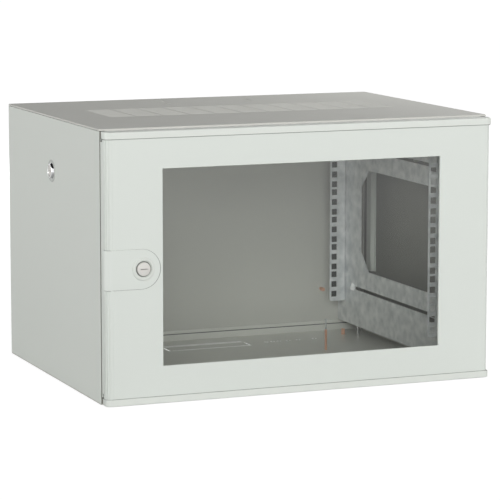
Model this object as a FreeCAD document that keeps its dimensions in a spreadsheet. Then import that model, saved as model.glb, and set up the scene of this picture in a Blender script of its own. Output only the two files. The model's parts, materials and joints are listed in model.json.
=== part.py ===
import FreeCAD, Part
import os
import re
import Sketcher
from FreeCAD import Placement, Rotation, Vector

# Wall-mount 19-inch network cabinet, 6 units high, with a glazed door hung on its right,
# two removable side panels with quarter-turn locks and depth-adjustable front rack rails.
#
# Millimetres.  X is the width, with 0 on the centre line.  Z is up from the underside of the
# base.  Y runs from the door to the wall.  Every sub-part is drawn with Y = 0 at the front
# edge of the body and is then moved by front_y, which puts the origin in the middle of the
# overall depth.  Right-hand parts are drawn, and left-hand ones are their mirror images.

SIZES = [
    ("cab_width", 600, "over the side panels"),
    ("cab_height", 388, "underside of the base to the top of the roof"),
    ("body_depth", 428, "front edge of the body to the wall"),
    ("sheet", 1.2, "painted sheet of the body and door"),
    ("fit_gap", 0.1, "between fixed pieces that lie on each other"),
    ("slide_gap", 0.3, "between a front rail and its side frame"),
    ("roof_rim", 2.5, "closed hem round the roof's edge"),
    ("rim_radius", 2, "rounding of the roof's edge"),
    ("hem_width", 10, "the hem, from the outside to the side flanges"),
    ("header", 24, "front flange of the roof and base"),
    ("roof_flange", 44, "side flange of the roof, from its top"),
    ("base_flange", 38, "side flange of the base, from its underside"),
    ("rear_flange", 18, "rear upstand of the roof and base"),
    ("back_fold", 25, "forward fold of the back panel"),
    ("base_inset", 0.5, "the base's ledge lies this far inside the side panels"),
    ("vent_columns", 11, "number of columns of vent slots"),
    ("vent_rows", 12, "number of rows of vent slots"),
    ("vent_pitch_x", 41.5, "from column to column"),
    ("vent_pitch_y", 10, "from row to row"),
    ("vent_length", 37.5, "of one slot"),
    ("vent_width", 5, "of one slot"),
    ("vent_shift", 6, "middle of the vent field, behind the middle of the roof"),
    ("entry_width", 140, "cable-entry opening"),
    ("entry_depth", 32, "cable-entry opening"),
    ("entry_inset", 68, "middle of the cable entries, from the wall"),
    ("entry_end_gap", 4, "slit at each end of a cable-entry cover"),
    ("post_width", 26.7, "front post, across the cabinet"),
    ("post_depth", 30.7, "front post, from front to back"),
    ("post_setback", 1.3, "front post, behind the body's front edge"),
    ("post_radius", 2, "outer bend of a front post"),
    ("wall_inset", 25, "wall-fixing holes, from the side of the cabinet"),
    ("wall_margin", 42.75, "wall-fixing holes, from the underside and from the hem"),
    ("wall_hole", 9, "diameter of a wall-fixing hole"),
    ("rack_inset", 75, "rack opening, from the outside; it leaves 450 clear"),
    ("rack_hole_inset", 7.55, "rack holes, from the opening; columns 465.1 apart"),
    ("rack_units", 6, "number of rack units"),
    ("unit_height", 44.45, "one rack unit"),
    ("rack_step", 15.875, "from hole to hole inside one unit"),
    ("rack_square", 9.5, "side of a square rack hole"),
    ("rail_sheet", 2, "thickness of a rack rail"),
    ("rail_overhang", 5.3, "rail beyond the first and last unit"),
    ("rail_corner", 4, "rounding of a rail's inner corners"),
    ("rail_bend", 3, "outer bend of a rail"),
    ("rail_flange", 28, "width of a rail's flange with its bend"),
    ("front_rail_y", 35.7, "face of the front rails"),
    ("front_rail_web", 29, "depth of a front rail"),
    ("rear_rail_inset", 33.1, "face of the rear rails, from the wall"),
    ("rear_rail_web", 27, "depth of a rear rail"),
    ("frame_sheet", 1.5, "galvanised side frame"),
    ("frame_margin", 18.75, "side frame, from the base's underside and from the hem"),
    ("frame_side_gap", 2.7, "front flange of a side frame, from the post's side"),
    ("frame_rear_fold", 11.5, "rear flange of a side frame"),
    ("octagon_front_y", 38, "front of a side frame's octagonal cut-out"),
    ("octagon_inset", 90, "rear of the cut-out, from the wall"),
    ("octagon_margin", 32, "cut-out, from the middle of the adjusting slots"),
    ("octagon_chamfer", 29, "of the cut-out"),
    ("slot_height", 5.6, "adjusting slots of a side frame"),
    ("slot_front_y", 44, "front end of the adjusting slots"),
    ("slot_inset", 69, "rear end of the adjusting slots, from the wall"),
    ("slot_margin", 20.35, "adjusting slots, inside the ends of the rack"),
    ("catch_y", 60, "front of the catches under the adjusting slots"),
    ("catch_length", 38, "of a catch"),
    ("catch_drop", 9, "foot of the upper catch, under the middle of its slot"),
    ("catch_height", 8, "of the lower catch"),
    ("catch_web", 1.3, "metal between the lower slot and its catch"),
    ("bolt", 5, "thread of the rail bolts"),
    ("bolt_head", 9, "diameter of a pan head"),
    ("bolt_head_height", 3.2, "of a pan head"),
    ("bolt_clear", 0.3, "hole over bolt, on the diameter"),
    ("bolt_inset", 6, "front rail's bolts, behind the front end of the slots"),
    ("screw_margin", 3.35, "frame screws, inside the ends of the rack"),
    ("door_gap", 2, "between the body and the door's back"),
    ("door_thick", 20, "door skin, front to back"),
    ("door_end_gap", 0.25, "door, from the base's underside and from the roof's hem"),
    ("cap_inset", 1.6, "end caps, inside the overall width"),
    ("cap_overhang", 2.7, "end caps, past the door skin on the hinge side"),
    ("cap_proud", 0.5, "end caps, in front of the door skin"),
    ("cap_height", 10, "visible height of an end cap"),
    ("cap_wall", 2.5, "moulded wall of an end cap"),
    ("cap_hub", 18, "solid hinge end of a cap"),
    ("cap_tongue", 6, "tongue of a cap behind the door skin"),
    ("cap_rear_radius", 4, "rear corners of a cap"),
    ("door_radius", 7, "outer bend of the door skin"),
    ("door_fold", 12, "rear flange of the door skin"),
    ("stile_width", 81.4, "door skin beside the visible glass, on the hinge side"),
    ("window_margin", 53.4, "visible glass, from the base's underside and from the hem"),
    ("glazing_return", 3.2, "edge of the window, turned in"),
    ("glass", 4, "thickness of the glass"),
    ("glass_lap", 12, "glass hidden behind the door skin"),
    ("seal_width", 8.5, "glass seal"),
    ("retainer", 1.5, "thickness of the glass retainers"),
    ("lock_inset", 54.8, "door lock, from the edge of the door skin"),
    ("lock_plate_height", 56, "D-shaped lock plate"),
    ("lock_offset", 3.2, "door lock, past the middle of its plate's round end"),
    ("lock_plate_sheet", 0.8, "D-shaped lock plate"),
    ("lock_plate_wrap", 7, "lock plate round the side of the door"),
    ("lock_proud", 4, "lock ring in front of the door skin"),
    ("lock_ring", 33, "diameter of a lock's ring"),
    ("lock_recess", 23.5, "diameter of the ring's recess"),
    ("lock_recess_depth", 2.8, "of the ring's recess"),
    ("lock_body", 22, "diameter of a lock's housing"),
    ("lock_barrel", 19.5, "diameter of a lock's cylinder"),
    ("run_clear", 0.05, "radial running clearance"),
    ("lock_length", 15, "lock housing behind the surface it is in"),
    ("spindle", 8, "diameter of a lock's spindle"),
    ("key_slot_length", 10.8, "slot in a lock's cylinder"),
    ("key_slot_width", 1.8, "slot in a lock's cylinder"),
    ("key_slot_depth", 2.5, "slot in a lock's cylinder"),
    ("nut_flats", 27, "across the flats of a lock's nut"),
    ("nut_height", 4, "of a lock's nut"),
    ("cam_sheet", 2, "thickness of a cam"),
    ("cam_width", 16, "of a cam"),
    ("cam_behind", 1.3, "gap between a cam and what it locks behind"),
    ("door_cam_reach", 30, "door lock's axis to the cam's tip"),
    ("panel_cam_reach", 50, "panel lock's axis to the cam's tip"),
    ("cam_nut_flats", 13, "across the flats of a cam's nut"),
    ("cam_nut_height", 3.2, "of a cam's nut"),
    ("panel_fold", 9.5, "folded edge of a side panel"),
    ("panel_gap", 0.6, "between a side panel and the roof"),
    ("panel_rest", 0.3, "between a side panel and the base's ledge"),
    ("panel_radius", 0.9, "outer bend of a side panel"),
    ("panel_lock_drop", 80.5, "side panel's lock, under the top of the roof"),
    ("panel_lock_proud", 4.4, "cylinder in front of a side panel"),
    ("panel_ring_proud", 1.2, "ring in front of a side panel"),
    ("rib_width", 23, "stiffening rib of a side panel"),
    ("rib_crown", 13, "flat of a stiffening rib"),
    ("rib_depth", 8, "of a stiffening rib"),
    ("rib_margin", 100.75, "rib, from the base's underside and from the hem"),
    ("rib_inset", 26, "rib, from the end of the side panel"),
    ("tab_length", 20, "locating tabs on the base's ledge"),
    ("tab_height", 3.8, "locating tabs above the ledge"),
    ("tab_inset", 6, "middle of a tab, inside the side panel's face"),
    ("tab_y", 70, "tabs, from either end of the body"),
    ("tab_slot", 4, "width of the slot over a tab"),
    ("hinge_inset", 5.5, "hinge axis, inside the edge of the door skin"),
    ("hinge_forward", 15, "hinge axis, in front of the body"),
    ("hinge_pin", 5, "diameter of a hinge pin"),
    ("hinge_pin_length", 7, "of a pin in its cap"),
    ("hinge_plate", 2, "thickness of a hinge arm"),
    ("hinge_eye", 8, "diameter of a hinge arm's eye"),
    ("hinge_neck", 5, "width of a hinge arm's neck"),
    ("hinge_sidestep", 11.2, "foot of the neck, inside the hinge axis"),
    ("hinge_leg", 1.5, "thickness of a hinge arm's leg"),
    ("hinge_leg_width", 19, "of a hinge arm's leg"),
    ("hinge_leg_height", 17, "of a hinge arm's leg"),
    ("bush_flange", 1.85, "thickness of a hinge bush's flange"),
    ("bush_flange_width", 8.2, "diameter of a hinge bush's flange"),
    ("bush_wall", 1.45, "wall of a hinge bush"),
    ("door_notch", 7, "height of the hinge notches, and of the lower unused one"),
    ("door_notch_depth", 15, "hinge notches, from the door's back"),
    ("spare_notch_width", 5, "unused notches on the lock side"),
    ("spare_notch_height", 4.2, "upper unused notch on the lock side"),
    ("foam_width", 6.8, "door seal"),
    ("foam_thick", 1.5, "door seal"),
    ("foam_end", 24, "door seal, from the door's ends"),
    ("stud_x", 162, "tall earth stud, from the centre line"),
    ("stud_inset", 161, "tall earth stud, from the wall"),
    ("stud_height", 32, "copper part of the tall earth stud"),
    ("stud_diameter", 4, "of the tall earth stud"),
    ("stud_tip", 17, "thin tip of the tall earth stud"),
    ("small_stud", 6, "diameter of a short earth stud"),
    ("small_stud_length", 9, "of a short earth stud"),
    ("floor_stud_step", 22, "short floor stud, behind the cable entry's middle"),
    ("floor_stud_gap", 10, "short floor stud, from the side frame"),
    ("wall_stud_z", 70, "height of the stud on the back panel"),
    ("wall_stud_inset", 1.5, "stud on the back panel, inside the rack opening"),
    ("pin_diameter", 2.4, "plain pins on the floor"),
    ("tall_pin", 18, "height of the front pin"),
    ("short_pin", 8, "height of the rear pin"),
    ("tall_pin_gap", 6, "front pin, outside the side frame"),
    ("short_pin_gap", 5, "rear pin, inside the post's side"),
    ("short_pin_step", 38, "rear pin, behind the front pin"),
    ("floor_hole", 7, "diameter of the holes in the floor"),
    ("floor_hole_step", 1, "row of floor holes, behind the cable entry's middle"),
    ("floor_hole_a", 100, "holes in the floor, from the centre line"),
    ("floor_hole_b", 111, "second hole"),
    ("floor_hole_c", 122, "third hole"),
    ("floor_hole_d", 138, "fourth hole"),
    ("floor_hole_e", 155, "fifth hole"),
    ("floor_hole_f", 183, "sixth hole"),
]

doc = FreeCAD.newDocument("WallCabinet")
sheet = doc.addObject("Spreadsheet::Sheet", "Sizes")
for row, (alias, value, note) in enumerate(SIZES, 1):
    sheet.set(f"A{row}", alias)
    sheet.set(f"B{row}", str(value))
    sheet.setAlias(f"B{row}", alias)
    sheet.set(f"C{row}", note)
doc.recompute()
NAMES = {alias for alias, value, note in SIZES}


def ex(text):
    """The expression with every size's name pointing at the spreadsheet."""
    return re.sub(r"[a-z]\w*", lambda word: "Sizes." + word[0] if word[0] in NAMES else word[0],
                  str(text))


def size(text):
    """The value of an expression now, in millimetres."""
    return float(sheet.evalExpression(ex(text)))


# Levels that several pieces share, as expressions.
HALF = "(cab_width / 2)"
FLANGE = f"({HALF} - hem_width)"                  # outer face of the roof's side flanges
POST = f"({FLANGE} - sheet - fit_gap)"            # outer face of the posts and back panel
MID = "((cab_height - roof_rim) / 2)"             # middle of the door, window and rack
HEM = "(cab_height - roof_rim)"                   # underside of the roof's hem
REAR = "(body_depth - sheet - fit_gap)"           # front face of the back panel, less a gap
OPENING = f"({HALF} - rack_inset)"                # edge of the rack opening
FRAME = f"({OPENING} + rail_flange)"              # inner face of a side frame
FRAME_LOW = "frame_margin"
FRAME_HIGH = f"({HEM} - frame_margin)"
RACK_HALF = "(rack_units * unit_height / 2)"
SCREW_REACH = f"({RACK_HALF} - screw_margin)"     # frame screws, from the middle
SLOT_REACH = f"({RACK_HALF} - slot_margin)"       # adjusting slots, from the middle
LOWER_SLOT = f"({MID} - {SLOT_REACH})"
UPPER_SLOT = f"({MID} + {SLOT_REACH})"
REAR_RAIL = "(body_depth - rear_rail_inset)"
REAR_WEB_Y = f"({REAR_RAIL} + rear_rail_web / 2 + rail_sheet / 2)"
ENTRY_Y = "(body_depth - entry_inset)"
DOOR_FRONT = "(-door_gap - door_thick)"
DOOR_BACK = "(-door_gap)"
LOCK_EDGE = f"({HALF} - cap_inset)"               # lock side of the door, and half a cap
HINGE_EDGE = f"({LOCK_EDGE} - cap_overhang)"      # hinge side of the door skin
DOOR_LOW = "door_end_gap"
DOOR_HIGH = f"({HEM} - door_end_gap)"
CAP_LOW = f"({DOOR_HIGH} - cap_height)"           # underside of the top cap
HINGE_X = f"({HINGE_EDGE} - hinge_inset)"
HINGE_Y = "(-hinge_forward)"
ARM_TOP = f"({CAP_LOW} - bush_flange)"            # upper face of the top hinge arm
LOCK_X = f"(-{LOCK_EDGE} + lock_inset)"
GLASS_X = f"({HINGE_EDGE} - stile_width)"         # half the visible glass
GLASS_Z = f"({MID} - window_margin)"
PANEL_MID = "(body_depth / 2)"
PANEL_LOCK_Z = "(cab_height - panel_lock_drop)"
FRONT_Y = "((door_gap + door_thick + lock_proud - body_depth) / 2)"
POST_SCREW_X = f"({POST} - post_width / 2)"
FRAME_FRONT = "(post_setback + post_depth + fit_gap)"
FRAME_SCREW_X = f"({FRAME} + frame_rear_fold / 2 + frame_sheet / 2)"
BOLT_Y = "(slot_front_y + bolt_inset)"
HEX = 1 / 3 ** 0.5                                # half a hexagon's side over half its flats

PLANES = {"XY": ("XY_Plane", 1), "XZ": ("XZ_Plane", -1), "YZ": ("YZ_Plane", 1)}
nodes = []


def node(item):
    """Keeps an object as a sub-part of its own."""
    nodes.append(item)
    return item


def place(item, x="0", z="0"):
    """Binds an object's Placement: its own X and Z, and the shift of the whole cabinet in Y."""
    item.setExpression("Placement.Base.x", ex(x))
    item.setExpression("Placement.Base.y", ex(FRONT_Y))
    item.setExpression("Placement.Base.z", ex(z))
    return item


def new_body(label, x="0", z="0"):
    return place(doc.addObject("PartDesign::Body", label), x, z)


def rectangle(x0, x1, y0, y1):
    return [(x0, y0), (x1, y0), (x1, y1), (x0, y1)]


def around(x, y, width, height):
    """A rectangle about a middle point."""
    return rectangle(f"({x}) - ({width}) / 2", f"({x}) + ({width}) / 2",
                     f"({y}) - ({height}) / 2", f"({y}) + ({height}) / 2")


def circle(x, y, diameter):
    return {"centre": (x, y), "radius": f"({diameter}) / 2"}


def hexagon(x, y, flats):
    corners = [(1, HEX), (0, 2 * HEX), (-1, HEX), (-1, -HEX), (0, -2 * HEX), (1, -HEX)]
    return [(f"({x}) + {a} * ({flats}) / 2", f"({y}) + {b} * ({flats}) / 2") for a, b in corners]


def hold(sketch, geometry, point, across, along):
    """Ties one point of a sketch to two expressions, measured from the sketch's origin."""
    for kind, text in (("DistanceX", across), ("DistanceY", along)):
        rule = Sketcher.Constraint(kind, -1, 1, geometry, point, size(text))
        index = sketch.addConstraint(rule)
        sketch.setExpression(f"Constraints[{index}]", ex(text))


def draw(body, name, plane, level, outlines):
    """A sketch parallel to an origin plane, with closed outlines of points or circles."""
    role, sense = PLANES[plane]
    sketch = body.newObject("Sketcher::SketchObject", name)
    origin = [item for item in body.Origin.OriginFeatures if item.Role == role]
    sketch.AttachmentSupport = [(origin[0], "")]
    sketch.MapMode = "FlatFace"
    sketch.setExpression("AttachmentOffset.Base.z", ex(f"{sense} * ({level})"))
    for outline in outlines:
        if isinstance(outline, dict):
            middle = Vector(*[size(text) for text in outline["centre"]], 0)
            ring = sketch.addGeometry(Part.Circle(middle, Vector(0, 0, 1), size(outline["radius"])))
            hold(sketch, ring, 3, *outline["centre"])
            index = sketch.addConstraint(Sketcher.Constraint("Radius", ring, size(outline["radius"])))
            sketch.setExpression(f"Constraints[{index}]", ex(outline["radius"]))
            continue
        points = [Vector(size(x), size(y), 0) for x, y in outline]
        ends = points[1:] + points[:1]
        lines = [sketch.addGeometry(Part.LineSegment(a, b)) for a, b in zip(points, ends)]
        for line, following in zip(lines, lines[1:] + lines[:1]):
            sketch.addConstraint(Sketcher.Constraint("Coincident", line, 2, following, 1))
        for line, (x, y) in zip(lines, outline):
            hold(sketch, line, 1, x, y)
    return sketch


def pad(body, name, plane, low, high, *outlines):
    """Adds the outlines' area between two levels along the plane's axis."""
    feature = body.newObject("PartDesign::Pad", name)
    feature.Profile = draw(body, name + "Sketch", plane, low, outlines)
    feature.setExpression("Length", ex(f"({high}) - ({low})"))
    feature.Reversed = plane == "XZ"
    body.Tip = feature
    return feature


def pocket(body, name, plane, low, high, *outlines):
    """Removes the outlines' area between two levels along the plane's axis."""
    feature = body.newObject("PartDesign::Pocket", name)
    feature.Profile = draw(body, name + "Sketch", plane, low, outlines)
    feature.setExpression("Length", ex(f"({high}) - ({low})"))
    feature.Reversed = plane != "XZ"
    body.Tip = feature
    return feature


def turn(body, name, axis, profile):
    """Turns a profile about X, Y or Z.  Its points are (place along the axis, radius)."""
    feature = body.newObject("PartDesign::Revolution", name)
    if axis == "X":
        sketch = draw(body, name + "Sketch", "XY", "0", [profile])
    else:
        swapped = [(radius, along) for along, radius in profile]
        sketch = draw(body, name + "Sketch", "XY" if axis == "Y" else "XZ", "0", [swapped])
    feature.Profile = sketch
    feature.ReferenceAxis = (sketch, ["H_Axis" if axis == "X" else "V_Axis"])
    feature.Angle = 360
    body.Tip = feature
    return feature


def repeat(body, name, seed, steps):
    """Repeats a feature along rows: each step is (sketch axis, pitch, number)."""
    sketch = seed.Profile[0]
    pattern = body.newObject("PartDesign::MultiTransform", name)
    pattern.Originals = [seed]
    rows = []
    for index, (axis, pitch, number) in enumerate(steps, 1):
        line = body.newObject("PartDesign::LinearPattern", f"{name}Row{index}")
        line.Direction = (sketch, [axis])
        line.setExpression("Length", ex(f"({pitch}) * (({number}) - 1)"))
        line.setExpression("Occurrences", ex(number))
        rows.append(line)
    pattern.Transformations = rows
    body.Tip = pattern
    return pattern


def on_line(**places):
    """A test for edges that lie at the given coordinates, each one value or several."""
    wanted = {axis: [size(text) for text in (texts if isinstance(texts, list) else [texts])]
              for axis, texts in places.items()}

    def test(edge):
        box = edge.BoundBox
        ends = {"x": (box.XMin, box.XMax), "y": (box.YMin, box.YMax), "z": (box.ZMin, box.ZMax)}
        return all(any(abs(ends[axis][0] - value) < 0.01 and abs(ends[axis][1] - value) < 0.01
                       for value in values) for axis, values in wanted.items())
    return test


def round_edges(body, name, radius, *tests):
    """Rounds the edges of the body's last feature that pass one of the tests."""
    doc.recompute()
    last = body.Tip
    names = [f"Edge{index}" for index, edge in enumerate(last.Shape.Edges, 1)
             if any(test(edge) for test in tests)]
    if not names:
        raise ValueError(f"{body.Label}: no edge to round for {name}")
    feature = body.newObject("PartDesign::Fillet", name)
    feature.Base = (last, names)
    feature.setExpression("Radius", ex(radius))
    body.Tip = feature
    return feature


def mirror(source, label, normal=(1, 0, 0), height="0", depth="0"):
    """The mirror image of an object in a plane through the given height and depth."""
    image = doc.addObject("Part::Mirroring", label)
    image.Source = source
    image.Normal = Vector(*normal)
    image.setExpression("Base.y", ex(depth))
    image.setExpression("Base.z", ex(height))
    return image


def group(label, members):
    """Several separate solids as one sub-part."""
    bundle = doc.addObject("Part::Compound", label)
    bundle.Links = members
    return bundle


def pan_screw(at, direction, reach, diameter, nut_at=None):
    """A pan-head screw whose head sits on the point at, and a nut nut_at along the screw."""
    direction = Vector(*direction)
    head = Part.makeCylinder(size("bolt_head / 2"), size("bolt_head_height"), at,
                             direction * -1)
    rim = [edge for edge in head.Edges if abs(edge.CenterOfMass.distanceToPoint(at)
                                              - size("bolt_head_height")) < 0.01
           and edge.Curve.TypeId == "Part::GeomCircle"]
    head = head.makeFillet(size("bolt_head_height / 3"), rim)
    solids = [head.fuse(Part.makeCylinder(diameter / 2, reach, at, direction)).removeSplitter()]
    if nut_at is not None:
        foot = at + direction * nut_at
        nut = Part.makeCylinder(size("bolt_head / 2"), size("bolt_head_height"), foot, direction)
        hole = Part.makeCylinder(diameter / 2 + size("run_clear"), size("bolt_head_height"),
                                 foot, direction)
        solids.append(nut.cut(hole))
    return solids


def fasteners(label, solids):
    """Identical fasteners, kept as separate solids in one sub-part."""
    item = doc.addObject("Part::Feature", label)
    item.Shape = Part.makeCompound(solids)
    item.Placement = Placement(Vector(0, size(FRONT_Y), 0), Rotation())
    return node(item)


# ---- Body of the cabinet -------------------------------------------------------------------

def make_roof():
    """Folded sheet with a closed hem, down-turned flanges, a vent field and a cable entry."""
    body = new_body("roof")
    inner = f"({FLANGE} - sheet)"
    under = "(cab_height - sheet)"
    half = [(HALF, "cab_height"), (HALF, HEM), (FLANGE, HEM), (FLANGE, "cab_height - roof_flange"),
            (inner, "cab_height - roof_flange"), (inner, under)]
    section = half + [(f"-({x})", z) for x, z in reversed(half)]
    pad(body, "Section", "XZ", "0", "body_depth", section)
    pad(body, "Header", "XZ", "0", "sheet",
        rectangle(f"-{inner}", inner, "cab_height - header", "cab_height - sheet / 2"))
    rear = f"({POST} - sheet - fit_gap)"
    pad(body, "RearFlange", "XZ", f"{REAR} - sheet", REAR,
        rectangle(f"-{rear}", rear, "cab_height - rear_flange", "cab_height - sheet / 2"))
    pocket(body, "CableEntry", "XY", under, "cab_height",
           around("0", ENTRY_Y, "entry_width", "entry_depth"))
    first_x = "(-(vent_columns - 1) * vent_pitch_x / 2)"
    first_y = f"({PANEL_MID} + vent_shift - (vent_rows - 1) * vent_pitch_y / 2)"
    slot = pocket(body, "VentSlot", "XY", under, "cab_height",
                  around(first_x, first_y, "vent_length", "vent_width"))
    repeat(body, "VentField", slot, [("H_Axis", "vent_pitch_x", "vent_columns"),
                                     ("V_Axis", "vent_pitch_y", "vent_rows")])
    round_edges(body, "CornerRounding", "rim_radius", on_line(x=[HALF, f"-{HALF}"], y="0"))
    on_top = size("cab_height")

    def rim(edge):
        box = edge.BoundBox
        level = abs(box.ZMin - on_top) < 0.01 and abs(box.ZMax - on_top) < 0.01
        outside = max(abs(box.XMin), abs(box.XMax)) > size(f"{HALF} - 2 * rim_radius")
        return level and outside and box.YMin < size(PANEL_MID)
    round_edges(body, "RimRounding", "rim_radius - fit_gap", rim)
    return node(body)


def make_base():
    """Floor with upturned flanges, a ledge with tabs for the side panels and small holes."""
    body = new_body("base")
    inner = f"({FLANGE} - sheet)"
    ledge = f"({HALF} - base_inset)"
    half = [(ledge, "0"), (ledge, "sheet"), (FLANGE, "sheet"), (FLANGE, "base_flange"),
            (inner, "base_flange"), (inner, "sheet")]
    section = half + [(f"-({x})", z) for x, z in reversed(half)]
    pad(body, "Section", "XZ", "0", "body_depth", section)
    pad(body, "Header", "XZ", "0", "sheet", rectangle(f"-{inner}", inner, "sheet / 2", "header"))
    rear = f"({POST} - sheet - fit_gap)"
    pad(body, "RearFlange", "XZ", f"{REAR} - sheet", REAR,
        rectangle(f"-{rear}", rear, "sheet / 2", "rear_flange"))
    tab_x = f"({HALF} - tab_inset)"
    for side, sign in (("Right", ""), ("Left", "-")):
        for end, y in (("Front", "tab_y"), ("Rear", "body_depth - tab_y")):
            pad(body, f"Tab{side}{end}", "XY", "sheet / 2", "sheet + tab_height",
                around(f"{sign}{tab_x}", y, "sheet", "tab_length"))
    pocket(body, "CableEntry", "XY", "0", "sheet",
           around("0", ENTRY_Y, "entry_width", "entry_depth"))
    pocket(body, "FloorHoles", "XY", "0", "sheet",
           *[circle(f"floor_hole_{letter}", f"{ENTRY_Y} + floor_hole_step", "floor_hole")
             for letter in "abcdef"])
    return node(body)


def make_entry_cover(label, low, high):
    """Removable plate in a cable entry, with an open slit at each end."""
    body = new_body(label)
    pad(body, "Plate", "XY", low, high,
        around("0", ENTRY_Y, "entry_width - 2 * entry_end_gap", "entry_depth - 2 * fit_gap"))
    return node(body)


def make_back_panel():
    """Rear wall with folded sides and the four wall-fixing holes."""
    body = new_body("back_panel")
    fold = "(body_depth - back_fold)"
    half = [(POST, "body_depth"), (POST, fold), (f"{POST} - sheet", fold),
            (f"{POST} - sheet", "body_depth - sheet")]
    section = half + [(f"-({x})", y) for x, y in reversed(half)]
    pad(body, "Section", "XY", "sheet + fit_gap", "cab_height - sheet - fit_gap", section)
    holes = [circle(f"{a} * ({HALF} - wall_inset)", f"{MID} + {b} * ({MID} - wall_margin)",
                    "wall_hole") for a in (-1, 1) for b in (-1, 1)]
    screws = [circle(f"{a} * {FRAME_SCREW_X}", f"{MID} + {b} * {SCREW_REACH}",
                     "bolt + bolt_clear") for a in (-1, 1) for b in (-1, 0, 1)]
    pocket(body, "Holes", "XZ", "body_depth - sheet", "body_depth", *holes, *screws)
    return node(body)


def make_front_post():
    """Folded channel between the roof and the base, open towards the middle."""
    body = new_body("front_post_right")
    front = "post_setback"
    rear = "(post_setback + post_depth)"
    inside = f"({POST} - post_width)"
    section = [(inside, front), (POST, front), (POST, rear), (inside, rear),
               (inside, f"{rear} - sheet"), (f"{POST} - sheet", f"{rear} - sheet"),
               (f"{POST} - sheet", f"{front} + sheet"), (inside, f"{front} + sheet")]
    pad(body, "Section", "XY", "sheet + fit_gap", "cab_height - sheet - fit_gap", section)
    pocket(body, "ScrewHoles", "XZ", f"{rear} - sheet", rear,
           *[circle(POST_SCREW_X, f"{MID} + {b} * {SCREW_REACH}", "bolt + bolt_clear")
             for b in (-1, 0, 1)])
    round_edges(body, "Bends", "post_radius", on_line(x=POST, y=[front, rear]))
    node(body)
    node(mirror(body, "front_post_left"))


def make_side_frame():
    """Galvanised plate with an octagonal cut-out, adjusting slots and catches below them."""
    body = new_body("side_frame_right")
    far = f"({FRAME} + frame_sheet)"
    edge = f"({POST} - frame_side_gap)"
    front, rear = "octagon_front_y", "(body_depth - octagon_inset)"
    top, bottom = f"({UPPER_SLOT} - octagon_margin)", f"({LOWER_SLOT} + octagon_margin)"
    cut = "octagon_chamfer"
    octagon = [(f"{front} + {cut}", bottom), (f"{rear} - {cut}", bottom),
               (rear, f"{bottom} + {cut}"), (rear, f"{top} - {cut}"), (f"{rear} - {cut}", top),
               (f"{front} + {cut}", top), (front, f"{top} - {cut}"), (front, f"{bottom} + {cut}")]
    slot_end = "(body_depth - slot_inset)"
    catch_end = "(catch_y + catch_length)"
    roof_of_slot = f"({UPPER_SLOT} + slot_height / 2)"
    foot_of_slot = f"({UPPER_SLOT} - slot_height / 2)"
    upper = [("slot_front_y", foot_of_slot), ("catch_y", foot_of_slot),
             ("catch_y", f"{UPPER_SLOT} - catch_drop"), (catch_end, f"{UPPER_SLOT} - catch_drop"),
             (catch_end, foot_of_slot), (slot_end, foot_of_slot), (slot_end, roof_of_slot),
             ("slot_front_y", roof_of_slot)]
    lower_foot = f"({LOWER_SLOT} - slot_height / 2)"
    lower = rectangle("slot_front_y", slot_end, lower_foot, f"{LOWER_SLOT} + slot_height / 2")
    catch = rectangle("catch_y", catch_end, f"{lower_foot} - catch_web - catch_height",
                      f"{lower_foot} - catch_web")
    rear_holes = [circle(REAR_WEB_Y, f"{MID} + {b} * {SCREW_REACH}", "bolt + bolt_clear")
                  for b in (-1, 1)]
    pad(body, "Plate", "YZ", FRAME, far, rectangle(FRAME_FRONT, REAR, FRAME_LOW, FRAME_HIGH),
        octagon, upper, lower, catch, *rear_holes)
    pad(body, "FrontFlange", "XZ", FRAME_FRONT, f"{FRAME_FRONT} + frame_sheet",
        rectangle(FRAME, edge, FRAME_LOW, FRAME_HIGH))
    pad(body, "RearFlange", "XZ", f"{REAR} - frame_sheet", REAR,
        rectangle(FRAME, f"{FRAME} + frame_rear_fold", FRAME_LOW, FRAME_HIGH))
    pocket(body, "FrontHoles", "XZ", FRAME_FRONT, f"{FRAME_FRONT} + frame_sheet",
           *[circle(POST_SCREW_X, f"{MID} + {b} * {SCREW_REACH}", "bolt + bolt_clear")
             for b in (-1, 0, 1)])
    pocket(body, "RearHoles", "XZ", f"{REAR} - frame_sheet", REAR,
           *[circle(FRAME_SCREW_X, f"{MID} + {b} * {SCREW_REACH}", "bolt + bolt_clear")
             for b in (-1, 0, 1)])
    round_edges(body, "Bends", "frame_sheet", on_line(x=FRAME, y=[FRAME_FRONT, REAR]))
    node(body)
    node(mirror(body, "side_frame_left"))


def make_rail(label, gap, face, web, bolt_y, bolt_z):
    """Angle rail: a flange with three square holes for each rack unit, and a web."""
    body = new_body(label)
    low = f"({MID} - {RACK_HALF} - rail_overhang)"
    high = f"({MID} + {RACK_HALF} + rail_overhang)"
    outer = f"({FRAME} - {gap})"
    inner = OPENING
    section = [(inner, face), (outer, face), (outer, f"{face} + {web}"),
               (f"{outer} - rail_sheet", f"{face} + {web}"),
               (f"{outer} - rail_sheet", f"{face} + rail_sheet"), (inner, f"{face} + rail_sheet")]
    pad(body, "Section", "XY", low, high, section)
    first = f"({MID} - {RACK_HALF} + unit_height / 2)"
    square = [around(f"{OPENING} + rack_hole_inset", f"{first} + {b} * rack_step",
                     "rack_square", "rack_square") for b in (-1, 0, 1)]
    unit = pocket(body, "UnitHoles", "XZ", face, f"{face} + rail_sheet", *square)
    repeat(body, "RackHoles", unit, [("V_Axis", "unit_height", "rack_units")])
    pocket(body, "WebHoles", "YZ", f"{outer} - rail_sheet", outer,
           *[circle(bolt_y, f"{MID} + {b} * {bolt_z}", "bolt + bolt_clear") for b in (-1, 1)])
    round_edges(body, "Bend", "rail_bend", on_line(x=outer, y=face))
    round_edges(body, "Corners", "rail_corner", on_line(x=inner, z=[low, high]))
    node(body)
    node(mirror(body, label.replace("right", "left")))


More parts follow.
